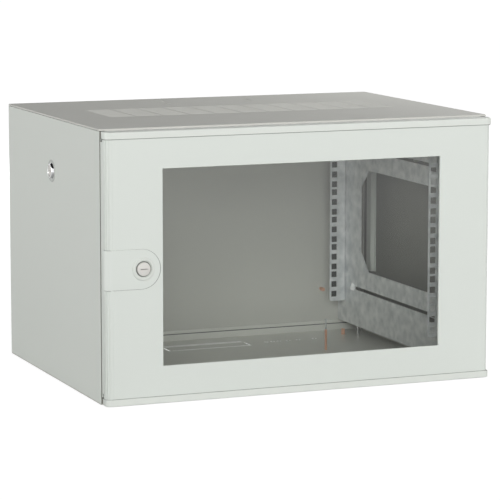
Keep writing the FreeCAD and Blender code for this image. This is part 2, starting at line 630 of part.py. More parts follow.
def make_fixed_fasteners():
    """Screws that hold the side frames to the posts and back panel, and the rear rails."""
    frame_screws, rail_screws = [], []
    shank = size("bolt")
    head_clear = size("fit_gap")
    for side in (-1, 1):
        for step in (-1, 0, 1):
            height = size(f"{MID} + {step} * {SCREW_REACH}")
            rear = Vector(side * size(FRAME_SCREW_X), size(f"{REAR} - frame_sheet"), height)
            frame_screws += pan_screw(rear, (0, 1, 0), size(f"body_depth - {REAR} + frame_sheet"),
                                      shank)
            front = Vector(side * size(POST_SCREW_X), size(f"{FRAME_FRONT} + frame_sheet"), height)
            frame_screws += pan_screw(front, (0, -1, 0),
                                      size("frame_sheet + fit_gap + sheet"), shank)
            if step:
                web = Vector(side * size(f"{FRAME} - fit_gap - rail_sheet"),
                             size(REAR_WEB_Y), height)
                through = size("rail_sheet + fit_gap + frame_sheet") + head_clear
                rail_screws += pan_screw(web, (side, 0, 0), through + size("bolt_head_height"),
                                         shank, through)
    fasteners("frame_screws", frame_screws)
    fasteners("rear_rail_screws", rail_screws)


def make_rail_bolts():
    """Bolts and nuts that clamp each front rail in the slots of its side frame."""
    for label, side in (("front_rail_bolts_right", 1), ("front_rail_bolts_left", -1)):
        solids = []
        for step in (-1, 1):
            web = Vector(side * size(f"{FRAME} - slide_gap - rail_sheet"), size(BOLT_Y),
                         size(f"{MID} + {step} * {SLOT_REACH}"))
            through = size("rail_sheet + frame_sheet + 2 * slide_gap")
            solids += pan_screw(web, (side, 0, 0), through + size("bolt_head_height"),
                                size("bolt"), through)
        fasteners(label, solids)


def make_studs():
    """Copper-plated earth studs on the floor and back wall, and plain locating pins."""
    floor = size("sheet")
    short, length = size("small_stud / 2"), size("small_stud_length")
    tall_foot = Vector(size("stud_x"), size("body_depth - stud_inset"), floor)
    floor_foot = Vector(size(f"{FRAME} - floor_stud_gap"), size(f"{ENTRY_Y} + floor_stud_step"),
                        floor)
    wall_foot = Vector(size(f"{OPENING} - wall_stud_inset"), size("body_depth - sheet"),
                       size("wall_stud_z"))
    fasteners("earth_studs", [
        Part.makeCylinder(size("stud_diameter / 2"), size("stud_height"), tall_foot),
        Part.makeCylinder(short, length, floor_foot),
        Part.makeCylinder(short, length, wall_foot, Vector(0, -1, 0))])

    tip_foot = tall_foot + Vector(0, 0, size("stud_height"))
    collar_foot = tip_foot + Vector(0, 0, size("stud_tip - 2 * sheet"))
    tip = Part.makeCylinder(size("stud_diameter / 4"), size("stud_tip"), tip_foot)
    collar = Part.makeCylinder(size("stud_diameter * 0.6"), size("sheet"), collar_foot)
    front_foot = Vector(size(f"{FRAME} + tall_pin_gap"), size(ENTRY_Y), floor)
    rear_foot = Vector(size(f"{POST} - short_pin_gap"), size(f"{ENTRY_Y} + short_pin_step"), floor)
    radius = size("pin_diameter / 2")
    fasteners("locating_pins", [tip.fuse(collar).removeSplitter(),
                                Part.makeCylinder(radius, size("tall_pin"), front_foot),
                                Part.makeCylinder(radius, size("short_pin"), rear_foot)])


# ---- Hinges --------------------------------------------------------------------------------

def make_hinges():
    """Cranked arms on the headers, with pins that stand in the door's end caps."""
    body = new_body("hinge_bracket_top")
    arm_low = f"({ARM_TOP} - hinge_plate)"
    foot = f"({HINGE_X} - hinge_sidestep)"
    back = "(-fit_gap - hinge_leg)"
    leg_right = f"({foot} + hinge_neck)"
    pad(body, "Leg", "XZ", back, "-fit_gap",
        rectangle(f"{leg_right} - hinge_leg_width", leg_right,
                  f"{arm_low} - hinge_leg_height / 3", f"{arm_low} + hinge_leg_height * 2 / 3"))
    neck = [(f"{HINGE_X} - hinge_neck * 0.38", f"{HINGE_Y} - hinge_neck * 0.32"),
            (f"{HINGE_X} + hinge_neck * 0.38", f"{HINGE_Y} + hinge_neck * 0.32"),
            (f"{foot} + hinge_neck * 0.65", back), (f"{foot} + hinge_neck * 0.65", "-fit_gap"),
            (f"{foot} - hinge_neck * 0.65", "-fit_gap"), (f"{foot} - hinge_neck * 0.65", back)]
    pad(body, "Neck", "XY", arm_low, ARM_TOP, neck)
    pad(body, "Eye", "XY", arm_low, ARM_TOP, circle(HINGE_X, HINGE_Y, "hinge_eye"))
    pocket(body, "PinHole", "XY", arm_low, ARM_TOP,
           circle(HINGE_X, HINGE_Y, "hinge_pin + 2 * run_clear"))
    node(body)
    node(mirror(body, "hinge_bracket_bottom", (0, 0, 1), MID))

    pin = new_body("hinge_pin_top")
    pad(pin, "Shank", "XY", arm_low, f"{CAP_LOW} + hinge_pin_length",
        circle(HINGE_X, HINGE_Y, "hinge_pin"))
    node(group("hinge_pins", [pin, mirror(pin, "hinge_pin_bottom", (0, 0, 1), MID)]))

    bush = new_body("hinge_bush_top")
    pad(bush, "Flange", "XY", f"{ARM_TOP} + fit_gap * 3", CAP_LOW,
        circle(HINGE_X, HINGE_Y, "bush_flange_width"),
        circle(HINGE_X, HINGE_Y, "hinge_pin + 2 * run_clear"))
    pad(bush, "Barrel", "XY", CAP_LOW, f"{CAP_LOW} + hinge_pin_length",
        circle(HINGE_X, HINGE_Y, "hinge_pin + 2 * run_clear + 2 * bush_wall"),
        circle(HINGE_X, HINGE_Y, "hinge_pin + 2 * run_clear"))
    node(group("hinge_bushes", [bush, mirror(bush, "hinge_bush_bottom", (0, 0, 1), MID)]))


# ---- Door ----------------------------------------------------------------------------------

def make_door_skin():
    """Folded door with a window, turned-in window edge and notches for the hinge arms."""
    body = new_body("door_skin")
    low = f"({DOOR_LOW} + cap_height + fit_gap)"
    high = f"({CAP_LOW} - fit_gap)"
    sides = [[(edge, DOOR_FRONT), (edge, DOOR_BACK), (f"{edge} - door_fold", DOOR_BACK),
              (f"{edge} - door_fold", f"{DOOR_BACK} - sheet"),
              (f"{edge} - sheet", f"{DOOR_BACK} - sheet"),
              (f"{edge} - sheet", f"{DOOR_FRONT} + sheet")] for edge in (HINGE_EDGE, LOCK_EDGE)]
    section = sides[0] + [(f"-({x})", y) for x, y in reversed(sides[1])]
    pad(body, "Section", "XY", low, high, section)
    round_edges(body, "OuterBends", "door_radius",
                on_line(x=[HINGE_EDGE, f"-{LOCK_EDGE}"], y=DOOR_FRONT))
    round_edges(body, "InnerBends", "door_radius - sheet",
                on_line(x=[f"{HINGE_EDGE} - sheet", f"-({LOCK_EDGE} - sheet)"],
                        y=f"{DOOR_FRONT} + sheet"))
    pad(body, "WindowEdge", "XZ", f"{DOOR_FRONT} + sheet / 2", f"{DOOR_FRONT} + glazing_return",
        around("0", MID, f"2 * {GLASS_X} + 2 * sheet", f"2 * {GLASS_Z} + 2 * sheet"))
    pocket(body, "Window", "XZ", DOOR_FRONT, f"{DOOR_FRONT} + glazing_return",
           around("0", MID, f"2 * {GLASS_X}", f"2 * {GLASS_Z}"))
    pocket(body, "LockHole", "XZ", DOOR_FRONT, f"{DOOR_FRONT} + sheet",
           circle(LOCK_X, MID, "lock_body + bolt_clear"))
    hinge_side = rectangle(f"{HINGE_EDGE} - door_fold - sheet", f"{HINGE_EDGE} + sheet",
                           f"{DOOR_BACK} - door_notch_depth", f"{DOOR_BACK} + sheet")
    pocket(body, "TopNotch", "XY", f"{high} - door_notch", high, hinge_side)
    pocket(body, "BottomNotch", "XY", low, f"{low} + door_notch", hinge_side)
    spare = around(f"-{LOCK_EDGE}", f"{DOOR_BACK} - spare_notch_width", "3 * sheet",
                   "spare_notch_width")
    throat = rectangle(f"-{LOCK_EDGE} - sheet", f"-{LOCK_EDGE} + 2 * sheet",
                       f"{DOOR_BACK} - spare_notch_width", f"{DOOR_BACK} + sheet")
    pocket(body, "SpareTop", "XY", f"{high} - spare_notch_height", high, spare)
    pocket(body, "SpareTopThroat", "XY", f"{high} - spare_notch_height",
           f"{high} - spare_notch_height + sheet", throat)
    pocket(body, "SpareBottom", "XY", low, f"{low} + door_notch", spare)
    pocket(body, "SpareBottomThroat", "XY", low, f"{low} + sheet", throat)
    return node(body)


def make_door_caps():
    """Moulded end cap with solid hinge ends, hollow between, and a tongue in the skin."""
    body = new_body("door_cap_top")
    half = LOCK_EDGE
    front = f"({DOOR_FRONT} - cap_proud)"
    pad(body, "Block", "XY", CAP_LOW, DOOR_HIGH, rectangle(f"-{half}", half, front, DOOR_BACK))
    round_edges(body, "FrontCorners", "door_radius", on_line(x=[half, f"-{half}"], y=front))
    round_edges(body, "RearCorners", "cap_rear_radius", on_line(x=[half, f"-{half}"], y=DOOR_BACK))
    pocket(body, "Hollow", "XY", CAP_LOW, f"{DOOR_HIGH} - cap_wall",
           rectangle(f"-({half} - cap_hub)", f"{half} - cap_hub", f"{front} + 2 * cap_wall",
                     f"{DOOR_BACK} - cap_wall"))
    tongue = f"({half} - cap_hub - cap_wall)"
    behind = f"({DOOR_FRONT} + sheet + fit_gap)"
    pad(body, "Tongue", "XY", f"{CAP_LOW} - cap_tongue", f"{CAP_LOW} + fit_gap",
        rectangle(f"-{tongue}", tongue, behind, f"{front} + 2 * cap_wall"))
    bore = "hinge_pin + 2 * run_clear + 2 * bush_wall + 2 * run_clear"
    pocket(body, "HingeBore", "XY", CAP_LOW, f"{CAP_LOW} + hinge_pin_length",
           circle(HINGE_X, HINGE_Y, bore))
    round_edges(body, "TopEdge", "sheet", on_line(z=DOOR_HIGH, y=front))
    node(body)
    node(mirror(body, "door_cap_bottom", (0, 0, 1), MID))


def make_glazing():
    """Toughened glass, its seal and the four bars that hold it."""
    glass_front = f"({DOOR_FRONT} + glazing_return + fit_gap)"
    glass_back = f"({glass_front} + glass)"
    body = new_body("door_glass")
    pad(body, "Pane", "XZ", glass_front, glass_back,
        around("0", MID, f"2 * ({GLASS_X} + glass_lap)", f"2 * ({GLASS_Z} + glass_lap)"))
    node(body)

    seal = new_body("glass_seal")
    inner = "2 * sheet + 2 * fit_gap"
    pad(seal, "Ring", "XZ", f"{DOOR_FRONT} + sheet + fit_gap / 2", f"{glass_front} - fit_gap / 2",
        around("0", MID, f"2 * {GLASS_X} + {inner} + 2 * seal_width",
               f"2 * {GLASS_Z} + {inner} + 2 * seal_width"),
        around("0", MID, f"2 * {GLASS_X} + {inner}", f"2 * {GLASS_Z} + {inner}"))
    node(seal)

    clamp = f"({glass_back} + fit_gap)"
    back = f"({clamp} + retainer)"
    foot = f"({DOOR_FRONT} + sheet + fit_gap)"
    leg = "(glass_lap + fit_gap * 2)"

    def angle(half, sign):
        grip = f"({half} + glass_lap / 4)"
        far = f"({half} + {leg} + retainer)"
        return [(sign(grip), clamp), (sign(f"{half} + {leg}"), clamp),
                (sign(f"{half} + {leg}"), foot), (sign(far), foot), (sign(far), back),
                (sign(grip), back)]
    top = new_body("glass_bar_top")
    outline = [(y, z) for z, y in angle(GLASS_Z, lambda text: f"{MID} + {text}")]
    reach = f"({GLASS_X} + {leg} + retainer)"
    pad(top, "Angle", "YZ", f"-{reach}", reach, outline)
    side = new_body("glass_bar_right")
    inside = f"({GLASS_Z} + glass_lap / 4 - fit_gap)"
    pad(side, "Angle", "XY", f"{MID} - {inside}", f"{MID} + {inside}",
        angle(GLASS_X, lambda text: text))
    node(group("glass_retainers", [top, mirror(top, "glass_bar_bottom", (0, 0, 1), MID),
                                   side, mirror(side, "glass_bar_left")]))


def make_door_seals():
    """Foam strips on the door's rear flanges, clear of the hinge arms."""
    face = f"({DOOR_BACK} + fit_gap / 2)"
    strips = []
    for label, edge, sign in (("door_seal_right", HINGE_EDGE, ""),
                              ("door_seal_left", LOCK_EDGE, "-")):
        inside = f"{edge} - door_fold + fit_gap"
        across = [f"{sign}({inside})", f"{sign}({inside} + foam_width)"]
        strip = new_body(label)
        pad(strip, "Strip", "XY", f"{DOOR_LOW} + foam_end", f"{DOOR_HIGH} - foam_end",
            rectangle(*across, face, f"{face} + foam_thick"))
        strips.append(strip)
    node(group("door_seals", strips))


# ---- Locks ---------------------------------------------------------------------------------

def make_lock_plate():
    """D-shaped plate that wraps the lock side of the door."""
    body = new_body("door_lock_plate")
    gap = "(fit_gap / 2)"
    outer = f"(-{LOCK_EDGE} - {gap} - lock_plate_sheet)"
    front = f"({DOOR_FRONT} - {gap} - lock_plate_sheet)"
    tip = f"({LOCK_X} - lock_offset + lock_plate_height / 2)"
    wrap = f"({DOOR_FRONT} + lock_plate_wrap)"
    section = [(outer, front), (tip, front), (tip, f"{front} + lock_plate_sheet"),
               (f"{outer} + lock_plate_sheet", f"{front} + lock_plate_sheet"),
               (f"{outer} + lock_plate_sheet", wrap), (outer, wrap)]
    low = f"({MID} - lock_plate_height / 2)"
    high = f"({MID} + lock_plate_height / 2)"
    pad(body, "Band", "XY", low, high, section)
    bend = f"(door_radius + {gap})"
    round_edges(body, "OuterBend", f"{bend} + lock_plate_sheet - fit_gap", on_line(x=outer, y=front))
    round_edges(body, "InnerBend", f"{bend} - fit_gap", on_line(x=f"{outer} + lock_plate_sheet",
                                                     y=f"{front} + lock_plate_sheet"))
    round_edges(body, "RoundEnd", "lock_plate_height / 2 - fit_gap", on_line(x=tip, z=[low, high]))
    pocket(body, "LockHole", "XZ", front, f"{front} + lock_plate_sheet",
           circle(LOCK_X, MID, "lock_body + bolt_clear"))
    return node(body)


def lock_profiles(front, surface, recess, inside):
    """Half sections of a lock's housing and cylinder, along the axis into the object."""
    ring, body, barrel = "(lock_ring / 2)", "(lock_body / 2)", "(lock_barrel / 2)"
    lip = "(lock_recess / 2 + 1)"
    floor = f"({front} + {recess})"
    end = f"({surface} + {inside})"
    housing = [(surface, ring), (f"{front} + ({surface} - {front}) * 0.45", ring),
               (front, f"({ring} + {lip}) / 2"), (front, lip), (floor, "lock_recess / 2"),
               (floor, f"{barrel} + run_clear"), (end, f"{barrel} + run_clear"), (end, body),
               (surface, body)]
    return housing


def make_door_lock():
    """Ring and housing, nut, cylinder with key slot, cam and cam nut of the door's lock."""
    surface = f"({DOOR_FRONT} - fit_gap - lock_plate_sheet)"
    front = f"({DOOR_FRONT} - lock_proud)"
    housing = new_body("door_lock_housing", LOCK_X, MID)
    turn(housing, "Turned", "Y", lock_profiles(front, surface, "lock_recess_depth", "lock_length"))
    node(housing)

    nut = new_body("door_lock_nut")
    pad(nut, "Hexagon", "XZ", f"{DOOR_FRONT} + sheet + fit_gap",
        f"{DOOR_FRONT} + sheet + fit_gap + nut_height", hexagon(LOCK_X, MID, "nut_flats"),
        circle(LOCK_X, MID, "lock_body + 2 * run_clear"))
    node(nut)

    cam_front = "(post_setback + sheet + cam_behind)"
    cam_back = f"({cam_front} + cam_sheet)"
    cylinder = new_body("door_lock_cylinder", LOCK_X, MID)
    face = f"({front} + lock_recess_depth / 3)"
    shoulder = f"({surface} + lock_length - sheet)"
    turn(cylinder, "Turned", "Y",
         [(face, "0"), (face, "lock_barrel / 2 - 0.5"), (f"{face} + 0.5", "lock_barrel / 2"),
          (shoulder, "lock_barrel / 2"), (shoulder, "spindle / 2"),
          (f"{cam_back} + cam_nut_height", "spindle / 2"), (f"{cam_back} + cam_nut_height", "0")])
    pocket(cylinder, "KeySlot", "XZ", face, f"{face} + key_slot_depth",
           around("0", "0", "key_slot_length", "key_slot_width"))
    node(cylinder)

    cam = new_body("door_lock_cam")
    low, high = f"({MID} - door_cam_reach)", f"({MID} + cam_width / 2)"
    left, right = f"({LOCK_X} - cam_width / 2)", f"({LOCK_X} + cam_width / 2)"
    pad(cam, "Plate", "XZ", cam_front, cam_back, rectangle(left, right, low, high),
        circle(LOCK_X, MID, "spindle + 2 * run_clear"))
    round_edges(cam, "Ends", "cam_width * 0.4", on_line(x=[left, right], z=[low, high]))
    node(cam)
    cam_nut = new_body("door_lock_cam_nut")
    pad(cam_nut, "Hexagon", "XZ", cam_back, f"{cam_back} + cam_nut_height",
        hexagon(LOCK_X, MID, "cam_nut_flats"), circle(LOCK_X, MID, "spindle + 2 * run_clear"))
    node(cam_nut)


# ---- Side panels ---------------------------------------------------------------------------

def make_side_panel():
    """Tray-folded panel with a lock hole, slots over the base's tabs and two ribs."""
    body = new_body("side_panel_right")
    low, high = "(sheet + panel_rest)", f"({HEM} - panel_gap)"
    inside = f"({HALF} - panel_fold)"
    pad(body, "Tray", "YZ", inside, HALF, rectangle("0", "body_depth", low, high))
    pocket(body, "Inside", "YZ", inside, f"{HALF} - sheet",
           rectangle("sheet", "body_depth - sheet", f"{low} + sheet", f"{high} - sheet"))
    round_edges(body, "Bends", "panel_radius",
                on_line(x=HALF, y=["0", "body_depth"]), on_line(x=HALF, z=[low, high]))
    pocket(body, "LockHole", "YZ", f"{HALF} - sheet", HALF,
           circle(PANEL_MID, PANEL_LOCK_Z, "lock_body + bolt_clear"))
    pocket(body, "TabSlots", "XY", low, f"{low} + sheet",
           *[around(f"{HALF} - tab_inset", y, "tab_slot", "tab_length + tab_slot")
             for y in ("tab_y", "body_depth - tab_y")])
    node(body)
    node(mirror(body, "side_panel_left"))

    rib = new_body("panel_rib_rear")
    foot = f"({HALF} - sheet - fit_gap)"
    crown = f"({foot} - rib_depth)"
    middle = "(body_depth - rib_inset - rib_width / 2)"
    outer, inner = "rib_width / 2", "rib_crown / 2"
    half = [(foot, outer), (f"{foot} - sheet", outer), (f"{foot} - sheet", f"{inner} + sheet"),
            (crown, f"{inner} + sheet")]
    back = [(f"{crown} + sheet", inner), (foot, inner)]
    section = [(x, f"{middle} + {y}") for x, y in half] \
        + [(x, f"{middle} - ({y})") for x, y in reversed(half)] \
        + [(x, f"{middle} - ({y})") for x, y in reversed(back)] \
        + [(x, f"{middle} + {y}") for x, y in back]
    pad(rib, "Hat", "XY", "rib_margin", f"{HEM} - rib_margin", section)
    ribs = group("panel_ribs_right",
                 [rib, mirror(rib, "panel_rib_front", (0, 1, 0), "0", f"{PANEL_MID} + {FRONT_Y}")])
    node(ribs)
    node(mirror(ribs, "panel_ribs_left"))


def make_panel_lock():
    """Ring, nut, cylinder, cam and cam nut of a side panel's quarter-turn lock."""
    height = PANEL_LOCK_Z
    ring_face = f"({HALF} + panel_ring_proud)"
    proud = f"({HALF} + panel_lock_proud)"
    surface = f"({HALF} + fit_gap / 2)"
    cam_outer = f"({FLANGE} - sheet - cam_behind)"
    cam_inner = f"({cam_outer} - cam_sheet)"
    end = f"({cam_outer} + fit_gap * 3)"
    barrel = "(lock_barrel / 2)"

    def turned(label, profile):
        body = doc.addObject("PartDesign::Body", label)
        body.setExpression("Placement.Base.y", ex(f"{FRONT_Y} + {PANEL_MID}"))
        body.setExpression("Placement.Base.z", ex(height))
        turn(body, "Turned", "X", profile)
        return body
    housing = turned("panel_lock_housing_right",
                     [(surface, "lock_ring / 2"), (ring_face, "lock_ring / 2 - 0.8"),
                      (ring_face, "lock_ring / 2 - 2"), (f"{surface} + 0.4", "lock_recess / 2"),
                      (f"{surface} + 0.4", f"{barrel} + run_clear"),
                      (end, f"{barrel} + run_clear"), (end, "lock_body / 2"),
                      (surface, "lock_body / 2")])
    cylinder = turned("panel_lock_cylinder_right",
                      [(proud, "0"), (proud, f"{barrel} - 0.6"), (f"{proud} - 0.6", barrel),
                       (f"{end} + 1", barrel), (f"{end} + 1", "spindle / 2"),
                       (f"{cam_inner} - cam_nut_height", "spindle / 2"),
                       (f"{cam_inner} - cam_nut_height", "0")])
    pocket(cylinder, "KeySlot", "YZ", f"{proud} - key_slot_depth", proud,
           around("0", "0", "key_slot_width", "key_slot_length"))
    nut = new_body("panel_lock_nut_right")
    inner_face = f"({HALF} - sheet - fit_gap)"
    pad(nut, "Hexagon", "YZ", f"{inner_face} - nut_height", inner_face,
        hexagon(PANEL_MID, height, "nut_flats"),
        circle(PANEL_MID, height, "lock_body + 2 * run_clear"))
    cam = new_body("panel_lock_cam_right")
    near, far = f"({PANEL_MID} - cam_width / 2)", f"({PANEL_MID} + panel_cam_reach)"
    low, high = f"({height} - cam_width / 2)", f"({height} + cam_width / 2)"
    pad(cam, "Plate", "YZ", cam_inner, cam_outer, rectangle(near, far, low, high),
        circle(PANEL_MID, height, "spindle + 2 * run_clear"))
    round_edges(cam, "Ends", "cam_width * 0.4", on_line(y=[near, far], z=[low, high]))
    cam_nut = new_body("panel_lock_cam_nut_right")
    pad(cam_nut, "Hexagon", "YZ", f"{cam_inner} - cam_nut_height", cam_inner,
        hexagon(PANEL_MID, height, "cam_nut_flats"),
        circle(PANEL_MID, height, "spindle + 2 * run_clear"))
    for item in (housing, cylinder, nut, cam, cam_nut):
        node(item)
        node(mirror(item, item.Label.replace("right", "left")))


make_roof()
make_base()
make_entry_cover("top_entry_cover", "cab_height - sheet", "cab_height")
make_entry_cover("bottom_entry_cover", "0", "sheet")
make_back_panel()
make_front_post()
make_side_frame()
make_rail("front_rail_right", "slide_gap", "front_rail_y", "front_rail_web", BOLT_Y, SLOT_REACH)
make_rail("rear_rail_right", "fit_gap", REAR_RAIL, "rear_rail_web", REAR_WEB_Y, SCREW_REACH)
make_fixed_fasteners()
make_rail_bolts()
make_studs()
make_hinges()
make_door_skin()
make_door_caps()
make_glazing()
make_door_seals()
make_lock_plate()
make_door_lock()
make_side_panel()
make_panel_lock()
doc.recompute()

for item in doc.Objects:
    if {"Invalid", "Error"} & set(item.State):
        raise ValueError(f"{item.Label} ({item.TypeId}) failed: {item.State}")
for item in nodes:
    if item.Shape.isNull() or not item.Shape.isValid():
        raise ValueError(f"{item.Label} has no valid shape")

os.makedirs("parts", exist_ok=True)
for item in nodes:
    item.Shape.exportStep(f"parts/{item.Label}.step")
    box = item.Shape.BoundBox
    print(f"{item.Label:28s} {len(item.Shape.Solids)} solid(s), volume {item.Shape.Volume:10.0f}, "
          f"X {box.XMin:7.1f} {box.XMax:7.1f}  Y {box.YMin:7.1f} {box.YMax:7.1f}  "
          f"Z {box.ZMin:6.1f} {box.ZMax:6.1f}")
print(len(nodes), "nodes")
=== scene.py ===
"""Looks and setting of a wall mount network cabinet, built round its solids.

Every size is in millimetres unless it is a position of a lamp, the camera or the floor,
which are in metres.
"""
import json
import math

import bmesh
import bpy
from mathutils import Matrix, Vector


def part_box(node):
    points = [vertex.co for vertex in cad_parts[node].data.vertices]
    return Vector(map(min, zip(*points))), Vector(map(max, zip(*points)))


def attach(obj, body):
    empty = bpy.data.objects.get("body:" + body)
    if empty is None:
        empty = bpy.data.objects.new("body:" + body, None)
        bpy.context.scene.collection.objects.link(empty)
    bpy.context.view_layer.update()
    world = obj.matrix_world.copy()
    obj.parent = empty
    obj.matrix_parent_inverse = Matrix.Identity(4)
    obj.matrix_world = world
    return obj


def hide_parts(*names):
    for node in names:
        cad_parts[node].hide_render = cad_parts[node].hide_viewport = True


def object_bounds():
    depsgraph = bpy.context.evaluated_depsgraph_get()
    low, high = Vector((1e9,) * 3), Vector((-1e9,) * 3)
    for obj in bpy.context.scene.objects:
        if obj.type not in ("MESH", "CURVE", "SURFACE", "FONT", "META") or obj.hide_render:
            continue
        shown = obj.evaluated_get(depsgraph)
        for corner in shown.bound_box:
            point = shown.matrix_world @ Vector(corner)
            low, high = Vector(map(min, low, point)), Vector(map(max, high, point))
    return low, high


MM = 0.001

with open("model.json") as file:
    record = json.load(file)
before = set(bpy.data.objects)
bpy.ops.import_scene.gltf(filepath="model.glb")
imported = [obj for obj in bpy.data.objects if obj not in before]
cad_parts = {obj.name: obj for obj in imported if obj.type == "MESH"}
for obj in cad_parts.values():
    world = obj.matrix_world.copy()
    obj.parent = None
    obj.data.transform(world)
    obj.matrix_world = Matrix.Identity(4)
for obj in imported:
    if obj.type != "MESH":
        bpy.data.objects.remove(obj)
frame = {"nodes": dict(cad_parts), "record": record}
cad_low, cad_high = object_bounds()
nodes = frame["nodes"]
node_body = {node: body for body, members in frame["record"]["behaviour"]["bodies"].items()
             for node in members}
node_slot = {row["node"]: row["material_slot"] for row in frame["record"]["subparts"]}


# ---- Materials -----------------------------------------------------------------------------

PEEL = 5.0           # orange peel of powder coat: 1 to 3 on the real paint, drawn coarser to hold
SHEEN = 60.0         # patches of slightly different sheen on a painted sheet
CLOUD = 17.0         # cloudy patches of hot-dip zinc
CRYSTAL = 9.0        # zinc crystals
ZINC_SKIN = 2.5      # small unevenness of the zinc, drawn coarser than the real 0.5 to 1
SKIN_SHEEN = 25.0    # patches of slightly different sheen on mouldings
PAINT_GLOSS = 0.12   # how strongly matt paint mirrors the room
MOULDED_GLOSS = 0.3  # and how strongly plastic and rubber do


def linear(text):
    """An sRGB hex colour as linear red, green, blue and alpha."""
    values = [int(text[i:i + 2], 16) / 255 for i in (0, 2, 4)]
    return [v / 12.92 if v <= 0.04045 else ((v + 0.055) / 1.055) ** 2.4 for v in values] + [1]


def add(tree, kind, settings=None, **inputs):
    """A shader node with its settings, and its inputs given as values or other sockets."""
    made = tree.nodes.new(kind)
    for name, value in (settings or {}).items():
        setattr(made, name, value)
    for name, value in inputs.items():
        socket = made.inputs[int(name[1:]) if name[0] == "_" else name.replace("_", " ")]
        if isinstance(value, bpy.types.NodeSocket):
            tree.links.new(value, socket)
        else:
            socket.default_value = value
    return made


def new_material(name, colour, roughness, metallic=0.0):
    """A material with one Principled shader, and its place coordinates in millimetres."""
    made = bpy.data.materials.new(name)
    made.use_nodes = True
    tree = made.node_tree
    shader = tree.nodes["Principled BSDF"]
    shader.inputs["Base Color"].default_value = linear(colour)
    shader.inputs["Roughness"].default_value = roughness
    shader.inputs["Metallic"].default_value = metallic
    made.diffuse_color = linear(colour)
    metres = add(tree, "ShaderNodeTexCoord").outputs["Object"]
    place = add(tree, "ShaderNodeVectorMath", {"operation": "SCALE"}, _0=metres,
                Scale=1 / MM).outputs[0]
    return made, tree, shader, place


def noise(tree, place, grain, detail=2.0, rough=0.5):
    """Noise with features of about grain millimetres."""
    return add(tree, "ShaderNodeTexNoise", Vector=place, Scale=1 / grain, Detail=detail,
               Roughness=rough).outputs["Fac"]


def spread(tree, value, low, high):
    """A 0 to 1 value moved to the range low to high."""
    return add(tree, "ShaderNodeMapRange", Value=value, To_Min=low, To_Max=high).outputs[0]


def bump(tree, height, depth):
    """A normal from a height of the given depth in millimetres."""
    return add(tree, "ShaderNodeBump", Height=height, Distance=depth * MM,
               Strength=1.0).outputs[0]


def powder_coat(name, colour, roughness, depth=0.004, gloss=PAINT_GLOSS):
    """Paint baked from powder: an even colour with a faint orange peel of the given depth."""
    made, tree, shader, place = new_material(name, colour, roughness)
    shader.inputs["Specular IOR Level"].default_value = gloss
    peel = noise(tree, place, PEEL, detail=3.0)
    tree.links.new(bump(tree, peel, depth), shader.inputs["Normal"])
    sheen = spread(tree, noise(tree, place, SHEEN), roughness - 0.03, roughness + 0.03)
    tree.links.new(sheen, shader.inputs["Roughness"])
    return made


def galvanised(name):
    """Hot-dip zinc: soft cloudy patches of brighter metal over faint crystals."""
    made, tree, shader, place = new_material(name, "DDE1E3", 0.45, 0.3)
    crystal = add(tree, "ShaderNodeTexVoronoi", {"feature": "SMOOTH_F1"}, Vector=place,
                  Scale=1 / CRYSTAL, Smoothness=1.0).outputs["Distance"]
    cloud = noise(tree, place, CLOUD, detail=2.5, rough=0.45)
    mixed = add(tree, "ShaderNodeMix", {"data_type": "FLOAT"}, Factor=0.75, _2=crystal,
                _3=cloud).outputs[0]
    ramp = add(tree, "ShaderNodeValToRGB", Fac=mixed)
    ramp.color_ramp.elements[0].position = 0.30
    ramp.color_ramp.elements[0].color = linear("D3D7D9")
    ramp.color_ramp.elements[1].position = 0.68
    ramp.color_ramp.elements[1].color = linear("FBFCFD")
    tree.links.new(ramp.outputs[0], shader.inputs["Base Color"])
    tree.links.new(spread(tree, cloud, 0.36, 0.52), shader.inputs["Roughness"])
    tree.links.new(bump(tree, noise(tree, place, ZINC_SKIN), 0.01), shader.inputs["Normal"])
    return made


def plated(name, colour, roughness, grain=1.5, metallic=1.0):
    """Bright or satin plating, with a faint grain and handling marks four times as wide.

    Real plating's grain is too fine to hold, so it is drawn coarser, at grain millimetres.
    """
    made, tree, shader, place = new_material(name, colour, roughness, metallic)
    marks = noise(tree, place, grain * 4, detail=5.0, rough=0.6)
    tree.links.new(spread(tree, marks, roughness * 0.8, roughness * 1.25),
                   shader.inputs["Roughness"])
    tree.links.new(bump(tree, noise(tree, place, grain), 0.004), shader.inputs["Normal"])
    return made


def moulded(name, colour, roughness, grain=4.0):
    """Moulded plastic, rubber or foam: a spark-eroded skin, drawn coarser than the real 0.2."""
    made, tree, shader, place = new_material(name, colour, roughness)
    shader.inputs["Specular IOR Level"].default_value = MOULDED_GLOSS
    skin = noise(tree, place, grain)
    tree.links.new(bump(tree, skin, 0.008), shader.inputs["Normal"])
    sheen = spread(tree, noise(tree, place, SKIN_SHEEN), roughness - 0.03, roughness + 0.03)
    tree.links.new(sheen, shader.inputs["Roughness"])
    return made


